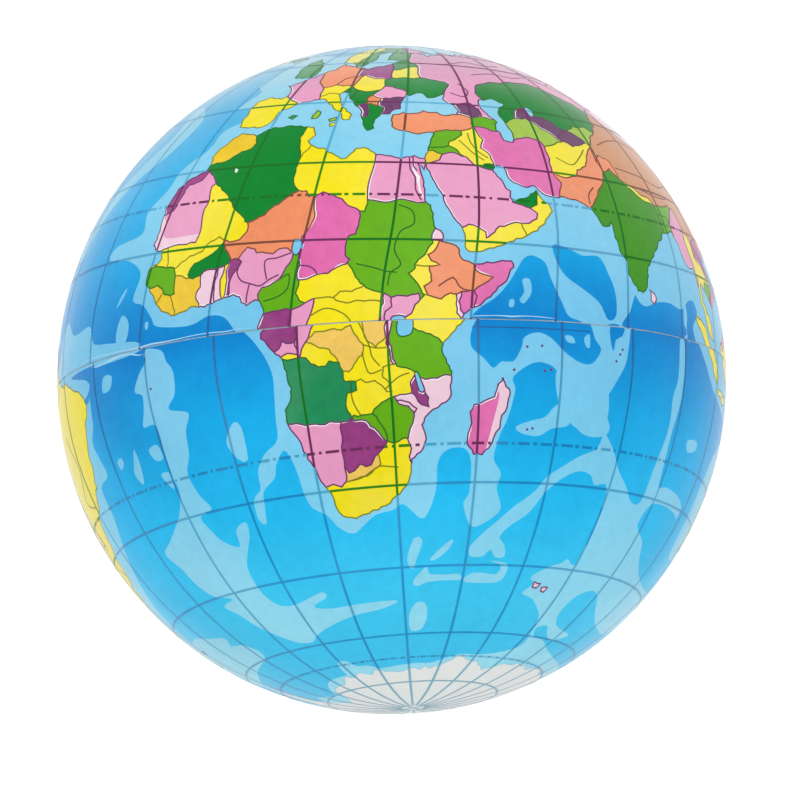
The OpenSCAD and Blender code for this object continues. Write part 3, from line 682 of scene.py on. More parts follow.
# Pale shallow seas. A name that starts with deep cuts its area back out of those before it.
SHALLOWS = {
    "atlantic_ridge": """
        -14.8,-0.3 -11,-1 -10,-3 -8.7,-5 -9,-9 -11,-11.5 -7,-13 -8.5,-16 -9.3,-20 -11,-23 -10,-27
        -8.5,-29.5 -12,-30.5 -11,-33 -9.5,-35.3 -6,-37 -5,-34 -2,-33 -2.5,-35.5 -4.5,-38 -7,-41.5
        -7,-46.5 -4.5,-49.5 0,-50 4,-49.3 9,-48.3 9.5,-49.5 5,-51 9,-52 18,-51.8 28,-51.8 24,-53.3
        15,-54.3 5,-56.3 0,-57.7 -3,-59 -8,-58.5 -11,-57 -14,-55 -17,-52.5 -19,-49.5 -21.5,-47 -17,-46
        -22,-44.5 -24.5,-41.5 -25.5,-38 -27.5,-34.5 -24,-33 -20,-31 -17,-29 -14.5,-25.5 -15,-21.5
        -14.8,-14 -18,-13.5 -17,-11 -16.5,-8 -18.3,-7 -16.5,-4 -15,-2.5""",
    "trindade": "-22.3,-16.5 -22,-19.5 -23,-22.5 -24.5,-20.5 -23.5,-18.5",
    "spot_a": "-18.5,-17.5 -16,-17 -15.5,-19.5 -17.5,-19.5",
    "spot_b": "-28.5,-17.5 -27,-17 -26.5,-18 -28,-19",
    "spot_c": "-26.8,-3 -24.2,-3.2 -25,-5.3 -27.5,-5.5",
    "spot_d": "-17.5,-22 -15.2,-22 -15.5,-24.8",
    "spot_e": "1.5,-16.3 2.8,-17.5 2.6,-22.8 0.8,-22.5 -0.8,-19.5",
    "spot_f": "-20.3,6 -18.3,4.5 -18.7,1.8 -21.3,1.8 -21.5,4",
    "spot_h": "-22.5,7.3 -21.5,9.2 -20.3,10.2 -20.8,8.8",
    "spot_i": "-14,4 -13.2,4 -13.2,3 -13.8,2.9",
    "equator_band": """
        -60,-0.6 -50,2 -44,8 -38,5.5 -31,5.8 -29,3 -24,2.2 -16,1.3 -15,0.3 -18,-0.6 -27,-1 -31,-0.5
        -40,-1 -33,-2.5 -32,-4 -35,-5.5 -40,-4 -46,-3""",
    "west_africa": """
        -9,41 -13,39 -13.5,35 -18,31 -19,27 -22,23 -21,19 -28,17.5 -29,15.5 -22,14.5 -17.5,12 -18,8
        -15,6.8 -12.5,4.5 -11,3 -4,2.2 0,3.3 3,2.7 5,0.6 7.5,-2 9.5,-5.5 10.3,-9 10,-13 9.5,-17 9,-20.5
        6,-22.5 4,-25 3.5,-28 1.5,-29.5 1,-33 2.3,-34 3.3,-31 4,-28.5 7,-26.5 7.8,-24.5 9.8,-22.3
        10.8,-23.5 11.5,-26 12,-30 13,-32.5 15.5,-34 17.5,-36.5 20.3,-37.8 23,-36.3 25.5,-34.8 29,-34.2
        31,-33.3 34.5,-36 36,-35 37.5,-31 37.8,-26.5 39.5,-24.5 42.5,-24.3 44,-26.5 44,-32 43,-33.5
        44.5,-37 46,-37.8 49,-36.5 51,-34.5 49.5,-31 50,-28.5 48.3,-26 49,-22.5 50.5,-19 51.5,-14
        51,-11.5 54,-8.5 56.5,-8 59,-9.5 59.5,-13 60.3,-16 63,-19.5 66,-21.5 70,-21.5 71.5,-20 69.5,-16
        71.5,-11 73.3,-7 74,-3 74.5,0 75.5,3 77,7 80,10 79,16 60,28 30,35 10,46 -5,42""",
    "deep_somali": """
        46,1.5 44,-1.5 43.8,-5 46,-7.5 47.5,-9.5 49,-8 51,-8 52.5,-5 53,-3 55.5,-2 58,-3 60.5,-5.5
        63.5,-7.5 66,-7.5 67.8,-4.5 66.5,-2.5 65.5,0 62.5,1 61,3.5 58.8,8 57.5,11.5 55,12.8 53.5,12
        52.5,9.8 51,6.5 49,3.8""",
    "carlsberg_spot": "53.5,7.5 54.8,7.7 55.3,5 54,2.8 53.2,3.6 54,5",
    "carlsberg_chip": "51.5,3.5 52.3,3.4 52.2,2.2 51.4,2.2",
    "somali_chip": "60.5,-2.3 62,-2.4 62.5,-3.6 61,-3.5",
    "somali_chip_b": "64.3,-2.5 65.4,-1.8 65.4,-4.3 64.6,-4",
    "deep_arabian": """
        59,15.5 62,15 65,13.8 68.5,14 70.5,10.5 72,6.5 72.3,2 70.5,1 68.5,4 65,6.5 61.5,9 59.5,12.5""",
    "deep_chagos": "70,0 73,0.3 72.5,-1.5 71,-2.3 70.5,-4.5 69.8,-2.3",
    "madagascar_east": "59,-10 62,-9 67,-10.5 70,-13.5 70,-20 64,-20.5 60,-16.5",
    "mauritius": "52,-20.8 55,-19.7 57.5,-19 59.5,-16.8 62,-16.5 62.5,-20 59,-20.9 56.5,-22.2 53,-21.8",
    "indian_ridge": """
        70.5,-21 69.5,-23.5 66,-25 62.5,-27 59.5,-29 57.5,-31.5 54,-34 51,-36.5 48,-39 45.5,-41.5
        46,-43.3 49,-43.3 50.5,-42 52,-43.5 54.3,-43.3 53.5,-41 52,-39.8 53.5,-37.8 57.5,-35 60,-31.5
        63,-29 66.5,-27.5 69.5,-28 71,-29.5 74,-29.3 75,-33 75,-40 74.5,-44 71.5,-43 70.5,-43.8 67,-45
        63.5,-47 65,-48.5 63,-50.5 67,-51.5 71,-53.5 74,-55.5 76,-59 77,-62.5 72,-64.5 66,-65.5 60,-66
        56,-66.5 50,-67 46,-68.5 42,-69 60,-75 140,-75 150,-63 130,-63 110,-63.5 95,-62.5 85,-60.5
        79,-60 76.5,-58 80,-57 84,-59 88,-60 92,-59.5 95,-58 86,-57 82,-55.5 80.5,-53 82,-50 86,-48.3
        90,-48.8 95,-51.5 101,-53.5 109,-54.5 120,-54 128,-50 125,-44 112,-44 103,-43 97,-40.5
        93.5,-37.5 90,-36 88,-34.5 89.5,-31 95,-30.5 101,-31 103,-31.5 103,-29.5 98,-28 92,-27.5
        89.5,-27.5 88.5,-20 89.5,-12 89.5,-0.5 88,-0.5 87.7,-8 86.8,-12 87.2,-18 86,-25 85.5,-31
        82.5,-31.3 79.5,-29 76,-26.5 73.5,-23.5""",
    "ninety_east_north": "90.8,0.3 91.8,0.3 91.8,5.5 90.8,7.5",
    "deep_bay": "74.8,-0.2 74.7,2 77,4 79.5,5 82.5,5 87,4.5 90,3.3 90.5,0.2",
    "deep_bay_b": "92.3,0.2 92,4.5 93,6.5 95,4 98,2 100,0.2",
    "crozet_a": "31.3,-43.5 33,-39.5 34.8,-40 33.5,-43.5 32.5,-45.5",
    "crozet_b": "36.5,-43.8 39,-41.5 41.5,-40 41,-41.5 38.5,-43.5",
    "crozet_c": """
        32.5,-48 34.5,-46 36,-45 36.5,-46.5 40,-46.8 44,-46.8 44.5,-48 40,-48 36,-48.3 33.5,-49""",
    "crozet_d": "46,-48.5 45.5,-47.5 48,-46.5 53.5,-46.8 54,-45 51,-44.2 55.5,-44.7 56,-47 54,-48.5",
    "crozet_e": "31.3,-55 33.5,-52.5 36,-53 36.5,-56 35,-58.8 31.5,-59",
    "spot_g": "95,-19 99,-18.5 99.5,-20 96,-20.8",
    "scotia": """
        -60,-50 -50,-49.5 -43,-51 -34,-52.7 -36,-54.5 -30,-55.5 -27,-58 -30,-60 -45,-61.5 -60,-63
        -68,-62 -66,-56""",
    "sandwich_fringe": "-3,-72 -1.5,-66 3,-65.5 6,-67.5 12,-68 18,-71 10,-73 0,-74",
    "antarctic_fringe": """
        -60,-75 -50,-73 -35,-75 -20,-71 -10,-70 0,-69.8 12,-69.5 30,-68.5 40,-68.5 45,-67.5 52,-66
        60,-66 80,-66 100,-65.5 120,-65 150,-65.5 165,-68 172,-73 190,-76 225,-72.5 262,-70 282,-70.5
        292,-66 299,-62.5""",
    "brazil_shelf": """
        -34,-6.5 -32.5,-5 -33,-10 -35,-13 -33.5,-18.5 -38,-20 -38.5,-25 -42,-30 -48,-36 -56,-44 -60,-52
        -68,-57 -75,-55 -78,-45 -75,-30 -72,-18 -79,-14 -84,-5 -82,2 -60,0 -45,-5""",
    "caribbean": """
        -50,6 -58,12 -60,17 -68,20 -72,24 -77,28 -76,34 -70,39 -62,42 -50,43 -50,50 -56,56 -60,62
        -70,66 -85,66 -95,62 -95,55 -82,50 -80,40 -95,32 -100,24 -95,14 -84,6 -78,5 -70,9""",
    "deep_gulf": "-94,26.5 -89,27 -86,25 -90,22.8 -95,23.5",
    "deep_antilles": "-78,17 -70,16.5 -65,14 -73,12.8 -80,14",
    "north_sea": """
        -14,45 -12,50 -16,53 -14,60 -8,66 5,69 15,74 30,76 60,80 100,80 150,75 180,74 180,66 60,60
        20,55 0,47""",
    "mediterranean": "-7,34 12,31 30,30 38,32 42,38 46,44 40,50 28,49 15,48 0,46 -8,40",
    "bay_of_bengal": "76,9 77.5,5.5 79.5,4.5 82.5,5.8 86,6.2 90,5.5 93,8 97,9 99,16 93,24 84,23 78,14",
    "deep_norwegian": "-8,67 0,72 9,73 10,68 4,64 -2,65",
    "iceland_shelf": "-35,66 -28,70 -18,69.5 -8,66 -6,61 -16,61.5 -26,62.5",
    "azores": "-32,48 -25,43 -27,36 -34,31 -41,25 -45,18 -49,19 -44,28 -37,35 -33,41 -37,48",
    "east_asia": """
        94,20 93,12 96,6 94,2 98,-3 104,-8 115,-11 124,-12 128,-10 112,-19 110,-30 114,-37 130,-36
        145,-45 156,-33 157,-22 150,-13 160,-12 155,-5 140,1 128,4 130,12 124,22 130,30 145,36 150,47
        160,50 175,60 190,62 190,70 170,66 130,45 110,20""",
    "deep_south_china": "110,18 115,20 119,18 117,13 113,9 110,12",
    "deep_banda": "120,-7.5 129,-7 131,-4.5 124,-5.5",
    "deep_japan_sea": "130,39 133,42.5 138,44 137,40 132,37.5",
    "new_zealand_plateau": """
        165,-18 170,-30 168,-42 162,-50 170,-54 185,-50 183,-43 180,-34 176,-25 172,-20""",
    "pacific_rise": """
        -118,15 -107,10 -103,0 -104,-12 -108,-22 -106,-32 -112,-42 -120,-50 -135,-56 -150,-60 -160,-64
        -165,-60 -145,-53 -128,-45 -120,-35 -120,-20 -114,-8 -113,4""",
    "nazca": "-105,-23 -95,-24 -85,-21 -78,-19 -80,-23 -92,-27 -104,-28",
    "hawaii": "-155,18 -154,20.5 -162,24 -175,29 -185,34 -189,40 -192,39 -188,31 -176,25.5 -163,20.5",
    "tuamotu": "-135,-22 -142,-16 -150,-13.5 -152,-16 -144,-19.5 -137,-24.5",
    "line_islands": "-157,3 -160,8 -167,13 -169,11 -162,5 -159,1",
    "melanesia": "160,-8 170,-14 180,-16 188,-19 187,-22 178,-19.5 166,-17",
    "micronesia": "135,8 145,9 155,8 165,7 171,10 165,11 152,11 140,11",
    "gulf_of_alaska": """
        -128,46 -135,53 -148,57 -160,52 -172,50 -185,50 -192,54 -180,58 -165,64 -155,62 -135,61 -125,50""",
}
# Small islands, one dark dot each.
ISLETS = """
    53.5,-4.8 56.2,-4.5 51.2,-9.8 49.2,-11.8 56.8,-9.8 58,-9.5 72.5,-4 72,-5 71.2,-6.5 -14.2,-7.2
    55.2,-21 54.2,-21.2"""
# Where the white film shows: longitude and latitude, then the greatest width in millimetres.
BARE = """
-30.5,-0.8 -28.8,-0.9 -24.2,-0.6 -19.5,-0.35 -15.5,-1 / 0.22
-34,0.5 -24,0.5 -12,0.4 2,0.45 8,0.4 / 0.14
44,0.45 52,0.5 60,0.45 / 0.12
-3.4,29.8 -3,29.3 -2.8,28.9 / 0.35
32.2,31 32.6,28.6 33.6,27 34,24.6 34.9,22.8 / 0.3
"""
# ---------------------------------------------------------------- from the map to the ball

STEP = 1.0  # longest step along a line
OVERLAP = 10.0  # how far past the equator each half keeps its lines
GRID = 2.0  # spacing of the points that fill the areas between lines
ROW = 0.866 * GRID
CLEAR = 0.8  # how far those points keep from the lines

# How each half of the print lies on the ball: tips about X and Y, turn, and twist per degree of latitude.
LAY = {1: (1.74, 3.05, -1.49, 0.1), -1: (-3.5, -1.54, -0.3, 0.01)}
# The latitude by which a half has its full tip.
TIPPED = 20
MIDDLE_LON = 120


def read(text):
    """Points of longitude and latitude."""
    return [tuple(float(c) for c in p.split(",")) for p in text.split()]


def read_lines(text):
    """A run of points for each row of the text. An indented row carries on the one above."""
    return [read(row) for row in text.replace("\n    ", " ").strip().splitlines()]


def unrolled(points, closed):
    """The points with longitudes that never jump by a turn, and the first one again at a ring's end."""
    ring = points + points[:1] if closed else list(points)
    out = [ring[0]]
    for lon, lat in ring[1:]:
        step = (lon - out[-1][0] + 180) % 360 - 180
        out.append((out[-1][0] + step, lat))
    return out


def fine_line(points, closed, wander):
    """The line with a point at least every degree, its stretches bowed a little, each in its own way."""
    ring = unrolled(points, closed)
    out = [ring[0]]
    for a, b in zip(ring, ring[1:]):
        dx, dy = b[0] - a[0], b[1] - a[1]
        wide = dx * math.cos(math.radians((a[1] + b[1]) / 2))
        length = math.hypot(wide, dy)
        count = max(1, math.ceil(length / STEP))
        phase = 12.9898 * a[0] + 78.233 * a[1] + 37.719 * b[0] + 4.581 * b[1]
        sway = wander * min(length, 5) * 0.12 * math.sin(phase)
        ripple = wander * min(length, 5) * 0.07 * math.sin(2.7 * phase)
        for i in range(1, count + 1):
            t = i / count
            off = sway * math.sin(math.pi * t) + ripple * math.sin(2 * math.pi * t)
            out.append((a[0] + dx * t - dy * off / length, a[1] + dy * t + dx * off / length))
    return out[:-1] if closed else out


def along(four, t):
    """The point a share t of the way from the second of four points to the third, on a smooth curve."""
    a, b, c, d = (np.array(p) for p in four)
    return 0.5 * (2 * b + (c - a) * t + (2 * a - 5 * b + 4 * c - d) * t * t + (3 * b - a - 3 * c + d) * t**3)


def rounded(points, closed=True):
    """A smooth curve through the points."""
    ring = unrolled(points, closed)
    n = len(points)
    out = []
    for i in range(n if closed else n - 1):
        four = []
        for k in (i - 1, i, i + 1, i + 2):
            if closed:
                lap, at = divmod(k, n)
                four.append((ring[at][0] + lap * (ring[-1][0] - ring[0][0]), ring[at][1]))
            else:
                four.append(points[min(max(k, 0), n - 1)])
        span = math.hypot(four[2][0] - four[1][0], four[2][1] - four[1][1])
        steps = max(2, min(12, math.ceil(span / STEP)))
        out.extend(along(four, j / steps) for j in range(steps))
    return out if closed else out + [points[-1]]


def overrun(points, extra=0.9):
    """The line drawn a little past both ends, so that it meets the line it stops at."""
    out = list(points)
    for end, inner, at in ((points[0], points[1], 0), (points[-1], points[-2], len(points) + 1)):
        dx, dy = end[0] - inner[0], end[1] - inner[1]
        length = math.hypot(dx * math.cos(math.radians(end[1])), dy)
        out.insert(at, (end[0] + dx * extra / length, end[1] + dy * extra / length))
    return out


def on_ball(side, lon, lat):
    """Unit vectors on the ball for arrays of map longitude and latitude."""
    tip_x, tip_y, turn, twist = LAY[side]
    lon = np.asarray(lon, float)
    lat = np.asarray(lat, float)
    high = lat + 0.9 * np.sin(2 * np.radians(lat))
    round_z = np.radians(lon - MIDDLE_LON + turn + twist * high)
    rise = np.radians(high)
    spot = np.stack([np.cos(rise) * np.cos(round_z), np.cos(rise) * np.sin(round_z), np.sin(rise)], -1)
    t = np.clip(np.abs(lat) / TIPPED, 0, 1)
    ease = t * t * (3 - 2 * t)
    a, b = np.radians(tip_x * ease), np.radians(tip_y * ease)
    x = spot[..., 0] * np.cos(b) + spot[..., 2] * np.sin(b)
    z = -spot[..., 0] * np.sin(b) + spot[..., 2] * np.cos(b)
    y = spot[..., 1]
    return np.stack([x, y * np.cos(a) - z * np.sin(a), y * np.sin(a) + z * np.cos(a)], -1)


def to_plane(side, lon, lat):
    """A half laid flat round its pole: each degree from the pole is one unit from the middle."""
    r = 90 - side * np.asarray(lat, float)
    turn = np.radians(lon)
    return np.stack([r * np.cos(turn), side * r * np.sin(turn)], -1)


def from_plane(side, flat):
    flat = np.asarray(flat, float)
    r = np.hypot(flat[..., 0], flat[..., 1])
    return np.degrees(np.arctan2(side * flat[..., 1], flat[..., 0])), side * (90 - r)


def seam_edge(side, lon):
    """How far the print stops from the equator, in degrees: a slightly uneven edge."""
    turn = np.radians(lon)
    wave = 0.5 + 0.25 * np.sin(7 * turn + side) + 0.15 * np.sin(19 * turn) + 0.1 * np.sin(43 * turn - side)
    return math.degrees(LIP / BALL) + 0.03 * wave


def inside(points, ring):
    """Which of the points lie in the closed ring."""
    x, y = points[:, 0], points[:, 1]
    out = np.zeros(len(points), bool)
    low, high = ring.min(0), ring.max(0)
    near = np.nonzero((x >= low[0]) & (x <= high[0]) & (y >= low[1]) & (y <= high[1]))[0]
    x, y = x[near], y[near]
    odd = np.zeros(len(near), bool)
    for (ax, ay), (bx, by) in zip(ring, np.roll(ring, -1, 0)):
        if ay != by:
            odd ^= ((y < ay) != (y < by)) & (x < ax + (y - ay) * (bx - ax) / (by - ay))
    out[near] = odd
    return out


def edges_of(tri):
    return (tri[0], tri[1]), (tri[1], tri[2]), (tri[2], tri[0])


class Half:
    """One printed half: flat triangles between the lines of its map, each with an ink."""

    def __init__(self, side):
        self.side = side
        self.points, self.links, self.kinds = [], [], []
        self.rings = {}
        for name, text in COASTS.items():
            self.line(fine_line(read(text), True, 1), "coast", name)
        for name, text in LAKES.items():
            self.line(rounded(read(text)), "lake", name)
        for name, text in SHALLOWS.items():
            self.line(rounded(read(text)), "sea", name)
        for points in read_lines(BORDERS):
            self.line(fine_line(overrun(points), False, 0.7), "border")
        for points in read_lines(TONES):
            self.line(rounded(overrun(points), False), "tone")
        for points in read_lines(INNER):
            self.line(rounded(points, False), "inner")
        self.seam_ring()
        self.fill_points()
        self.triangulate()
        self.find_inks()

    def line(self, lonlat, kind, name=None):
        """Adds the part of a line that this half has. A line with a name is a closed ring."""
        lonlat = np.array(lonlat)
        flat = to_plane(self.side, lonlat[:, 0], lonlat[:, 1])
        r = np.hypot(flat[:, 0], flat[:, 1])
        if name:
            self.rings[name] = flat if r.min() < 90 + OVERLAP else np.zeros((3, 2))
            flat = np.vstack([flat, flat[:1]])
            r = np.append(r, r[0])
        last = None
        for i in range(len(flat)):
            if r[max(i - 1, 0) : i + 2].min() >= 90 + OVERLAP:
                last = None
                continue
            self.points.append(flat[i])
            here = len(self.points) - 1
            if last is not None:
                self.links.append((last, here))
                self.kinds.append(kind)
            last = here

    def seam_ring(self):
        """Adds the edge of the print along the equator."""
        lon = np.arange(0, 360, 1.0)
        self.seam = to_plane(self.side, lon, self.side * seam_edge(self.side, lon))
        start = len(self.points)
        self.points.extend(self.seam)
        for i in range(len(lon)):
            self.links.append((start + i, start + (i + 1) % len(lon)))
            self.kinds.append("seam")

    def fill_points(self):
        """Adds points between the lines, so that the flat triangles bend well on the ball."""
        tree = kdtree.KDTree(len(self.points))
        for i, p in enumerate(self.points):
            tree.insert((p[0], p[1], 0), i)
        tree.balance()
        rows = int(90 / ROW) + 1
        columns = int(90 / GRID) + 1
        for j in range(-rows, rows + 1):
            for i in range(-columns, columns + 1):
                x, y = (i + 0.5 * (j % 2)) * GRID, j * ROW
                if math.hypot(x, y) < 90 and tree.find((x, y, 0))[2] > CLEAR:
                    self.points.append(np.array([x, y]))

    def triangulate(self):
        """Fills the half with triangles that have the lines among their edges."""
        flat = [Vector((float(p[0]), float(p[1]))) for p in self.points]
        out = delaunay_2d_cdt(flat, self.links, [], 0, 1e-4, True)
        corners = np.array([(v[0], v[1]) for v in out[0]])
        tris = np.array(out[2])
        mid = corners[tris].mean(1)
        keep = inside(mid, self.seam)
        self.corners, self.tris, self.mid = corners, tris[keep], mid[keep]
        self.kinds_of = {}
        for edge, origin in zip(out[1], out[4]):
            if len(origin):
                self.kinds_of[tuple(sorted(edge))] = {self.kinds[k] for k in origin}
        self.sides = {}
        for t, tri in enumerate(self.tris.tolist()):
            for edge in edges_of(tri):
                self.sides.setdefault(tuple(sorted(edge)), []).append(t)
        self.out = on_ball(self.side, *from_plane(self.side, corners))
        self.finder = BVHTree.FromPolygons(
            [Vector((p[0], p[1], 0)) for p in corners], self.tris.tolist(), all_triangles=True
        )

    def triangle_at(self, lon, lat):
        p = to_plane(self.side, lon, lat)
        hit = self.finder.ray_cast(Vector((float(p[0]), float(p[1]), 1)), Vector((0, 0, -1)))
        return hit[2]

    def covered(self, names):
        """Which triangles lie in any of the named rings."""
        out = np.zeros(len(self.tris), bool)
        for name in names:
            out |= inside(self.mid, self.rings[name])
        return out

    def find_inks(self):
        """Gives each triangle the ink of its sea, lake or coloured area."""
        lake = self.covered(["caspian", *LAKES])
        self.land = self.covered(COASTS) & ~lake
        pale = np.zeros(len(self.tris), bool)
        for name in SHALLOWS:
            here = self.covered([name])
            pale = pale & ~here if name.startswith("deep") else pale | here
        self.inks = np.full(len(self.tris), "deep_sea", dtype=object)
        self.inks[pale | lake] = "pale_sea"
        count = self.find_areas()
        seeds = self.read_seeds()
        self.join_slivers(count)
        spots = np.array([spot for spot, ink in seeds])
        for k in range(count):
            mine = self.area == k
            if not mine.any():
                continue
            if k not in self.ink_of:
                nearest = int(np.argmin(np.hypot(*(spots - self.mid[mine][0]).T)))
                self.ink_of[k] = seeds[nearest][1]
            self.inks[mine] = self.ink_of[k]

    def find_areas(self):
        """Numbers the coloured areas: the land that can be reached without crossing a line."""
        walls = {"coast", "lake", "border", "tone"}
        joins = [[] for _ in self.tris]
        for edge, pair in self.sides.items():
            if len(pair) == 2 and not self.kinds_of.get(edge, set()) & walls:
                joins[pair[0]].append(pair[1])
                joins[pair[1]].append(pair[0])
        self.area = -np.ones(len(self.tris), int)
        count = 0
        for t in np.nonzero(self.land)[0].tolist():
            if self.area[t] >= 0:
                continue
            stack = [t]
            self.area[t] = count
            while stack:
                for b in joins[stack.pop()]:
                    if self.land[b] and self.area[b] < 0:
                        self.area[b] = count
                        stack.append(b)
            count += 1
        return count

    def read_seeds(self):
        """Gives areas their inks, and returns the place and the ink of each seed in this half."""
        self.ink_of = {}
        seeds = []
        for ink, text in SEEDS.items():
            for lon, lat in read(text):
                if self.side * lat < 0.05:
                    continue
                seeds.append((to_plane(self.side, lon, lat), ink))
                t = self.triangle_at(lon, lat)
                if t is not None and self.area[t] >= 0:
                    self.ink_of.setdefault(self.area[t], ink)
        return seeds

    def join_slivers(self, count):
        """Joins each small area that has no seed to the seeded neighbour with which it shares most edge."""
        small = 12
        sizes = np.bincount(self.area[self.area >= 0], minlength=count)
        shared = {}
        for edge, pair in self.sides.items():
            a, b = self.area[pair[0]], self.area[pair[-1]]
            if a >= 0 and b >= 0 and a != b:
                span = np.hypot(*(self.corners[edge[0]] - self.corners[edge[1]]))
                for p, q in ((a, b), (b, a)):
                    known = shared.setdefault(p, {})
                    known[q] = known.get(q, 0) + span
        for k in sorted(range(count), key=sizes.__getitem__):
            options = {q: span for q, span in shared.get(k, {}).items() if q in self.ink_of}
            if options and k not in self.ink_of and sizes[k] <= small:
                self.area[self.area == k] = max(sorted(options), key=options.get)


# ---------------------------------------------------------------- making the pieces

SIDE_NAME = {1: "north", -1: "south"}


def new_piece(name, side, verts, faces, normals, materials, slots=None):
    """A smooth piece. side says which half it rides, and 0 is the foam's own body."""
    mesh = bpy.data.meshes.new(name)
    mesh.from_pydata([tuple(v) for v in verts], [], faces)
    for material in materials:
        mesh.materials.append(material)
    if slots is not None:
        mesh.polygons.foreach_set("material_index", slots)
    mesh.polygons.foreach_set("use_smooth", [True] * len(mesh.polygons))
    mesh.validate()
    mesh.normals_split_custom_set_from_vertices([tuple(n) for n in normals])
    mesh.update()
    piece = bpy.data.objects.new(name, mesh)
    scene.collection.objects.link(piece)
    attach(piece, SIDE_NAME.get(side, "core"))
    return piece


def print_piece(name, side, verts, faces, normals, materials, slots=None):
    """A piece of the printed film of one half, on that half's body, with a mesh of its own."""
    piece = new_piece(f"{name}_{SIDE_NAME[side]}", side, verts, faces, normals, materials, slots)
    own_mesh(piece)
    return piece


def foam(material):
    """The foam ball, with the low rib that its mould leaves round the equator."""
    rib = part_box("foam_core")[1].x
    half_rib = LIP * 0.5
    turn = np.radians(np.arange(0, 360, 1.0))
    uneven = 0.03 * MM * (np.sin(11 * turn) + np.sin(29 * turn + 1)) / 2 - 0.03 * MM
    drift = 0.02 * MM * np.sin(5 * turn) + 0.015 * MM * np.sin(17 * turn)
    foot = np.full(len(turn), math.sqrt(CORE**2 - (1.5 * half_rib) ** 2))
    slopes = []
    for lat in range(-87, 0, 3):
        rise = math.radians(lat)
        slopes.append((np.full(len(turn), CORE * math.cos(rise)), np.full(len(turn), CORE * math.sin(rise))))
    levels = slopes + [
        (foot, drift - 1.5 * half_rib),
        (rib + uneven, drift - half_rib),
        (rib + uneven, drift + half_rib),
        (foot, drift + 1.5 * half_rib),
    ]
    levels += [(r, -z) for r, z in reversed(slopes)]
    verts, faces = [(0, 0, -CORE)], []
    for r, z in levels:
        verts.extend(zip(r * np.cos(turn), r * np.sin(turn), z))
    verts.append((0, 0, CORE))
    n = len(turn)
    top = 1 + (len(levels) - 1) * n
    for j in range(n):
        faces.append((0, 1 + (j + 1) % n, 1 + j))
        for i in range(len(levels) - 1):
            a, b = 1 + i * n + j, 1 + i * n + (j + 1) % n
            faces.append((a, b, b + n, a + n))
        faces.append((top + j, top + (j + 1) % n, len(verts) - 1))
    normals = [Vector(v).normalized() for v in verts]
    piece = new_piece("foam_ball", 0, verts, faces, normals, [material])
    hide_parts("foam_core")
    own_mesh(piece)


def film(side, material):
    """The white film under the print: a closed half shell."""
    lon = np.arange(0, 360, 1.5)
    turn = np.radians(lon)
    rings = 61
    verts, normals, faces = [], [], []
    for radius, sign in ((FILM_TOP, 1), (FILM_LOW, -1)):
        for i in range(rings):
            edge = np.degrees(np.arcsin(LIP / radius)) + 0.015 * (1 + np.sin(np.radians(9 * lon)))
            rise = np.radians(edge + (90 - edge) * (i / rings))
            flat = np.cos(rise)
            spot = np.stack([flat * np.cos(turn), flat * np.sin(turn), side * np.sin(rise)], -1)
            verts.extend(spot * radius)
            normals.extend(spot * sign)
        verts.append((0, 0, side * radius))
        normals.append((0, 0, side * sign))
    n = len(lon)
    block = rings * n + 1
    for shell in (0, 1):
        base = shell * block
        for i in range(rings):
            for j in range(n):
                a, b = base + i * n + j, base + i * n + (j + 1) % n
                face = (a, b, base + rings * n) if i == rings - 1 else (a, b, b + n, a + n)
                flip = (shell == 1) != (side < 0)
                faces.append(face[::-1] if flip else face)
    for j in range(n):
        a, b = j, (j + 1) % n
        face = (b, a, block + a, block + b)
        faces.append(face if side > 0 else face[::-1])
    piece = print_piece("film", side, verts, faces, normals, [material])
    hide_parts(f"{SIDE_NAME[side]}_cover")


def patches(half, name, inks):
    """The areas of some inks as one thin closed piece."""
    names = list(inks)
    mine = np.isin(half.inks.astype(str), names)
    chosen = np.nonzero(mine)[0].tolist()
    tris = half.tris[chosen]
    used, back = np.unique(tris, return_inverse=True)
    back = back.reshape(tris.shape).tolist()
    n = len(used)
    out = half.out[used]
    verts = np.vstack([out * INK_TOP, out * INK_LOW])
    normals = np.vstack([out, out])
    faces = [tuple(tri) for tri in back] + [tuple(v + n for v in tri[::-1]) for tri in back]
    slots = [names.index(half.inks[t]) for t in chosen] * 2
    place = {int(v): i for i, v in enumerate(used)}
    for t, tri in zip(chosen, tris.tolist()):
        for a, b in edges_of(tri):
            if sum(mine[p] for p in half.sides[tuple(sorted((a, b)))]) == 1:
                p, q = place[a], place[b]
                faces.append((q, p, p + n, q + n))
                slots.append(names.index(half.inks[t]))
    print_piece(name, half.side, verts, faces, normals, list(inks.values()), slots)


def unit(vectors):
    return vectors / np.maximum(np.linalg.norm(vectors, axis=1, keepdims=True), 1e-12)


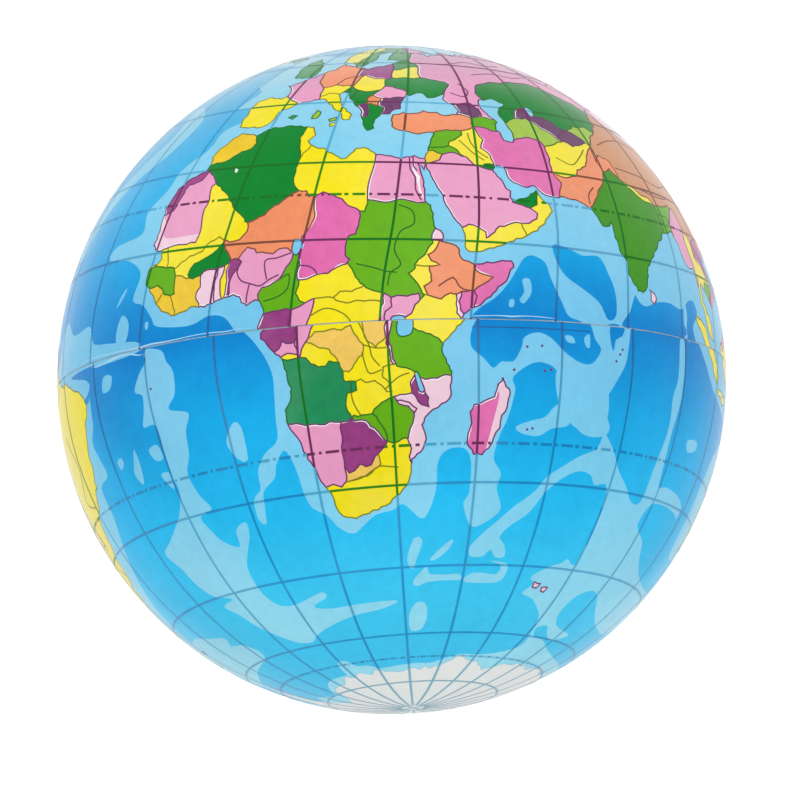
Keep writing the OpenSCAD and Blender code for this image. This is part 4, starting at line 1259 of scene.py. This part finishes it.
class Ribbons:
    """Narrow printed lines, each a thin closed strip."""

    def __init__(self, top):
        self.top = top
        self.verts, self.normals, self.faces, self.slots = [], [], [], []

    def strip(self, spots, width, slot, closed=False):
        """Adds a strip along unit vectors, with one width or one for each of them."""
        spots = np.asarray(spots, float)
        n = len(spots)
        if n < 2:
            return
        if closed:
            ahead, behind = np.roll(spots, -1, 0), np.roll(spots, 1, 0)
        else:
            ahead = np.vstack([spots[1:], spots[-1:]])
            behind = np.vstack([spots[:1], spots[:-1]])
        step_on, step_in = ahead - spots, spots - behind
        run = unit(unit(step_on) + unit(step_in))
        side = unit(np.cross(spots, run))
        leave = step_on if closed else np.vstack([step_on[:-1], step_in[-1:]])
        own = unit(np.cross(spots, unit(leave)))
        miter = np.clip(1 / np.maximum((side * own).sum(1, keepdims=True), 0.5), 1, 1.6)
        reach = np.reshape(np.broadcast_to(width, (n,)), (n, 1)) / 2 / BALL * miter
        base = len(self.verts)
        for left, right in zip(unit(spots + side * reach), unit(spots - side * reach)):
            self.verts += [left * self.top, right * self.top, right * LINE_LOW, left * LINE_LOW]
            self.normals += [left, right, right, left]
        for i in range(n if closed else n - 1):
            a, b = base + 4 * i, base + 4 * ((i + 1) % n)
            for k in range(4):
                on = (k + 1) % 4
                self.faces.append((a + k, a + on, b + on, b + k))
                self.slots.append(slot)
        if not closed:
            end = base + 4 * (n - 1)
            self.faces += [(base + 3, base + 2, base + 1, base), (end, end + 1, end + 2, end + 3)]
            self.slots += [slot, slot]

    def piece(self, name, side, materials):
        print_piece(name, side, self.verts, self.faces, self.normals, materials, self.slots)


def chains(edges):
    """The edges joined into runs of points that end where lines meet. A closed run is marked True."""
    near = {}
    for a, b in edges:
        near.setdefault(a, []).append(b)
        near.setdefault(b, []).append(a)
    left = {tuple(sorted(edge)) for edge in edges}
    runs = []

    def walk(a, b):
        run = [a, b]
        left.discard(tuple(sorted((a, b))))
        while len(near[b]) == 2:
            on = near[b][0] if near[b][0] != run[-2] else near[b][1]
            if tuple(sorted((b, on))) not in left:
                break
            left.discard(tuple(sorted((b, on))))
            run.append(on)
            b = on
        return run

    for a in sorted(near):
        if len(near[a]) != 2:
            for b in near[a]:
                if tuple(sorted((a, b))) in left:
                    runs.append((walk(a, b), False))
    while left:
        run = walk(*min(left))
        closed = run[0] == run[-1]
        runs.append((run[:-1] if closed else run, closed))
    return runs


# Inks that share the colours of their coasts, borders and graticule.
FAMILIES = {
    "sea": ("deep_sea",),
    "pale": ("pale_sea",),
    "yellow": ("yellow", "amber", "apricot"),
    "green": ("green", "leaf", "fern", "lime", "teal"),
    "red": ("salmon", "clay"),
    "plum": ("pink", "rose", "blush", "plum", "wine"),
    "snow": ("snow",),
}
FAMILY = {ink: family for family, inks in FAMILIES.items() for ink in inks}
COAST_INK = {"yellow": "olive", "green": "bottle", "red": "brown", "plum": "dark", "snow": "ice"}
LINE_WIDTH = {"olive": 0.15, "dark": 0.16, "bottle": 0.15, "brown": 0.16, "ice": 0.1}
NET_WIDTH = {"solid": 0.26, "dashed": 0.3, "faint": 0.12}


def border_ink(a, b):
    """The ink of a border, from the inks on both sides of it."""
    pair = {FAMILY[a], FAMILY[b]}
    if pair == {"yellow"}:
        return "olive"
    if pair <= {"yellow", "green"}:
        return "bottle"
    return "brown" if "red" in pair else "dark"


def outline_ink(half, edge):
    """The ink of a coast, border or inner line on an edge between two triangles, or None."""
    kinds = half.kinds_of[edge]
    pair = half.sides.get(edge, [])
    if len(pair) != 2:
        return None
    a, b = pair
    if half.land[a] != half.land[b]:
        ashore = a if half.land[a] else b
        return COAST_INK[FAMILY[half.inks[ashore]]] if kinds & {"coast", "lake"} else None
    parted = "border" in kinds and half.area[a] != half.area[b]
    if half.land[a] and (parted or "inner" in kinds):
        return border_ink(half.inks[a], half.inks[b])
    return None


def outlines(half, materials):
    """Coasts, borders, the lines inside countries and the small islands."""
    names = list(materials)
    groups = {name: [] for name in names}
    for edge in half.kinds_of:
        ink = outline_ink(half, edge)
        if ink:
            groups[ink].append(edge)
    ribbons = Ribbons(LINE_TOP)
    for slot, name in enumerate(names):
        for run, closed in chains(groups[name]):
            ribbons.strip(half.out[run], LINE_WIDTH[name] * MM, slot, closed)
    for lon, lat in read(ISLETS):
        if lat * half.side > 0:
            spots = on_ball(half.side, [lon - 0.22, lon, lon + 0.22], [lat] * 3)
            ribbons.strip(spots, np.array([0.14, 0.3, 0.14]) * MM, names.index("dark"))
    ribbons.piece("outlines", half.side, list(materials.values()))


def bare_sides(half, pull):
    """The edges of the pink areas that face the pull, as each edge's first point and its next."""
    steps = {}
    for t in np.nonzero(np.isin(half.inks.astype(str), FAMILIES["plum"]))[0].tolist():
        for a, b in edges_of(half.tris[t].tolist()):
            edge = tuple(sorted((a, b)))
            other = [p for p in half.sides[edge] if p != t]
            if not other or FAMILY[half.inks[other[0]]] == "plum" or edge not in half.kinds_of:
                continue
            inward = np.cross(half.out[a], half.out[b] - half.out[a])
            inward /= np.linalg.norm(inward)
            if inward @ pull > 0.15:
                steps[a] = b
    return steps


def fringe(half, materials):
    """White slivers where the pink plate sits a little off its outline, and other bare streaks."""
    widest = 0.2 * MM
    pull = np.array([0.75, 0, 0.65] if half.side > 0 else [0.25, 0, -0.95])
    steps = bare_sides(half, pull)
    ribbons = Ribbons(SLIVER_TOP)
    done = set()
    for start in sorted(set(steps) - set(steps.values())) + sorted(steps):
        if start in done:
            continue
        run = [start]
        while run[-1] in steps and run[-1] not in done:
            done.add(run[-1])
            run.append(steps[run[-1]])
        if len(run) < 4:
            continue
        spots = half.out[run]
        share = np.linspace(0, 1, len(run))
        swell = widest * np.sqrt(np.sin(np.pi * np.clip(share, 0.02, 0.98)))
        inward = unit(np.cross(spots, np.gradient(spots, axis=0)))
        ribbons.strip(spots + inward * swell[:, None] / 2 / BALL, swell, 0)
    for row in BARE.strip().splitlines():
        path, width = row.split("/")
        points = fine_line(read(path), False, 0.3)
        if points[0][1] * half.side > 0:
            turn = np.linspace(0, np.pi, len(points))
            swell = float(width) * MM * np.sqrt(np.clip(np.sin(turn), 0.05, 1))
            at_seam = abs(points[0][1]) < 2
            spots = on_ball(half.side, *np.transpose(points))
            ribbons.strip(spots, swell * (1 + 0.3 * np.sin(5 * turn)), int(at_seam))
    ribbons.piece("fringe", half.side, materials)


def net_lines(side):
    """Meridians and parallels, the tropic and the polar circle, as longitudes, latitudes and a style."""
    fine = 0.5
    lines = []
    for lon in range(-180, 180, 15):
        lat = np.arange(0, (90 if lon % 90 == 0 else 88) + fine / 2, fine)
        lines.append((np.full(len(lat), float(lon)), side * lat, "solid"))
    around = np.arange(-180, 180 + fine / 2, fine)
    parallels = [(lat, "solid") for lat in (15, 30, 45, 60, 75) if side > 0 or lat > 15]
    for lat, style in parallels + [(23.5, "dashed"), (66.5, "dashed")]:
        lines.append((around, np.full(len(around), side * float(lat)), style))
    if side < 0:
        near = np.arange(44, 66, fine)
        lines.append((near, np.full(len(near), -1.3), "faint"))
    return lines


def halved(values):
    """The values with one more halfway between each two."""
    out = np.empty(2 * len(values) - 1)
    out[::2] = values
    out[1::2] = values[:-1] + (values[1:] - values[:-1]) * 0.5
    return out


def graticule(half, materials):
    """The net of lines, each in the ink that suits the colour below it."""
    names = list(materials)
    ribbons = Ribbons(NET_TOP)
    for lon, lat, style in net_lines(half.side):
        lon, lat = halved(lon), halved(lat)
        keys = []
        for x, y in zip((lon[:-1] + lon[1:]) / 2, (lat[:-1] + lat[1:]) / 2):
            t = half.triangle_at(x, y)
            beat = x % 4.4
            gap = style == "dashed" and not (beat < 2.3 or 3.0 < beat < 3.6)
            keys.append(None if t is None or gap else "net_" + FAMILY[half.inks[t]])
        spots = on_ball(half.side, lon, lat)
        start = 0
        for i in range(1, len(keys) + 1):
            if i == len(keys) or keys[i] != keys[start]:
                if keys[start]:
                    ribbons.strip(spots[start : i + 1], NET_WIDTH[style] * MM, names.index(keys[start]))
                start = i
    ribbons.piece("graticule", half.side, list(materials.values()))


# ---------------------------------------------------------------- inks, and all the pieces


def hazed_at_pole(tone, painted_pole_haze):
    """One tone for most of the half, and a paler one near its pole: painted haze of the light from above."""
    return (tone,) * 4 + (painted_pole_haze,)


WHITE = printed("film_white", "F4F6F4", mottle=0.03)
SEAM_TONE = line_ink("seam_pale", "A6D8F0")
# The sea tones by height are partly the print's own and partly painted light: the northern inks pale and
# grey towards the pole for the haze of the light from above, the southern ones brighten towards the pole for
# light from below.
DEEP_SEA = {
    1: printed("ink_deep_north", "0084D2", "10A8E8", "2CB6EE", "50B8E6", "6CBEE0", mottle=0.08, fade=0.0),
    -1: printed(
        "ink_deep_south", "0084D2", "10ACEC", "22C4FC", "3ED2FF", "3ACCFC", mottle=0.08, fade=0.0, haze=0.38
    ),
}
PALE_SEA = {
    1: printed("ink_pale_north", "72C6EE", "80D2F2", "9ED4E6", mottle=0.07),
    -1: printed("ink_pale_south", "72C6EE", "84D8F8", "A0ECFF", mottle=0.07, haze=0.38),
}
# The last, paler tone of the yellow, green and pink inks is painted haze near the pole, not a different ink.
YELLOW = {
    "yellow": printed("ink_yellow", *hazed_at_pole("F8E612", "E6E070"), mottle=0.07, fade=0.16),
    "amber": printed("ink_amber", "F2CA1C", mottle=0.12),
    "apricot": printed("ink_apricot", "F8CC60", mottle=0.12),
}
GREEN = {
    "green": printed("ink_green", *hazed_at_pole("00862E", "52A474"), mottle=0.10, fade=0.0),
    "leaf": printed("ink_leaf", "66B210", mottle=0.10, fade=0.03),
    "fern": printed("ink_fern", "3C9404", mottle=0.10, fade=0.04),
    "lime": printed("ink_lime", "A4C83C", mottle=0.12),
    "teal": printed("ink_teal", "20925C", mottle=0.14),
}
PINK = {
    "pink": printed("ink_pink", *hazed_at_pole("EB9EC6", "BE92AE"), mottle=0.07),
    "rose": printed("ink_rose", "E46CB0", mottle=0.12),
    "blush": printed("ink_blush", "F3CFE0", mottle=0.08),
}
WARM = {
    "salmon": printed("ink_salmon", "F39265", mottle=0.10),
    "clay": printed("ink_clay", "D69467", mottle=0.14),
    "plum": printed("ink_plum", "9C4086", mottle=0.2),
    "wine": printed("ink_wine", "6A3466", mottle=0.24),
    "snow": printed("ink_snow", "EFF3F2", mottle=0.04, haze=0.3),
}
OUTLINE = {
    "olive": line_ink("outline_olive", "7F8220"),
    "dark": line_ink("outline_dark", "6F3468"),
    "bottle": line_ink("outline_bottle", "2A6E22"),
    "brown": line_ink("outline_brown", "7E4A3C"),
    "ice": line_ink("outline_ice", "A9D6E6"),
}
NET = {
    # These follow the seas' tones by height, darker, so they carry the same painted light as the sea inks.
    "net_sea": printed("net_sea", "00599E", "0C86C4", "1F9CD8", "2A9AD2"),
    "net_pale": printed("net_pale", "3E93BE", "52AED6", "5CB2DA"),
    "net_yellow": line_ink("net_yellow", "2A8418"),
    "net_green": line_ink("net_green", "14701C"),
    "net_red": line_ink("net_red", "7A4A34"),
    "net_plum": line_ink("net_plum", "6E2C5C"),
    "net_snow": line_ink("net_snow", "7FB6CC"),
}

foam(foam_material())
for side in (1, -1):
    film(side, WHITE)
    half = Half(side)
    patches(half, "deep_sea", {"deep_sea": DEEP_SEA[side]})
    patches(half, "pale_sea", {"pale_sea": PALE_SEA[side]})
    patches(half, "yellow_inks", YELLOW)
    patches(half, "green_inks", GREEN)
    patches(half, "pink_inks", PINK)
    patches(half, "warm_inks", WARM)
    fringe(half, [WHITE, SEAM_TONE])
    outlines(half, OUTLINE)
    graticule(half, NET)

# ---------------------------------------------------------------- floor


def make_floor():
    """A plain floor, far enough below the ball to hide nothing of it from any side."""
    half_width, drop = 30.0, 40 * BALL
    mesh = bpy.data.meshes.new("floor")
    corners = [(x, y, -drop) for x, y in ((-1, -1), (1, -1), (1, 1), (-1, 1))]
    mesh.from_pydata([(x * half_width, y * half_width, z) for x, y, z in corners], [], [(0, 1, 2, 3)])
    n = Nodes("studio_floor")
    n.set("Base Color", (0.9, 0.9, 0.9, 1))
    n.set("Roughness", 0.8)
    mesh.materials.append(n.material)
    floor = bpy.data.objects.new("floor", mesh)
    scene.collection.objects.link(floor)


make_floor()
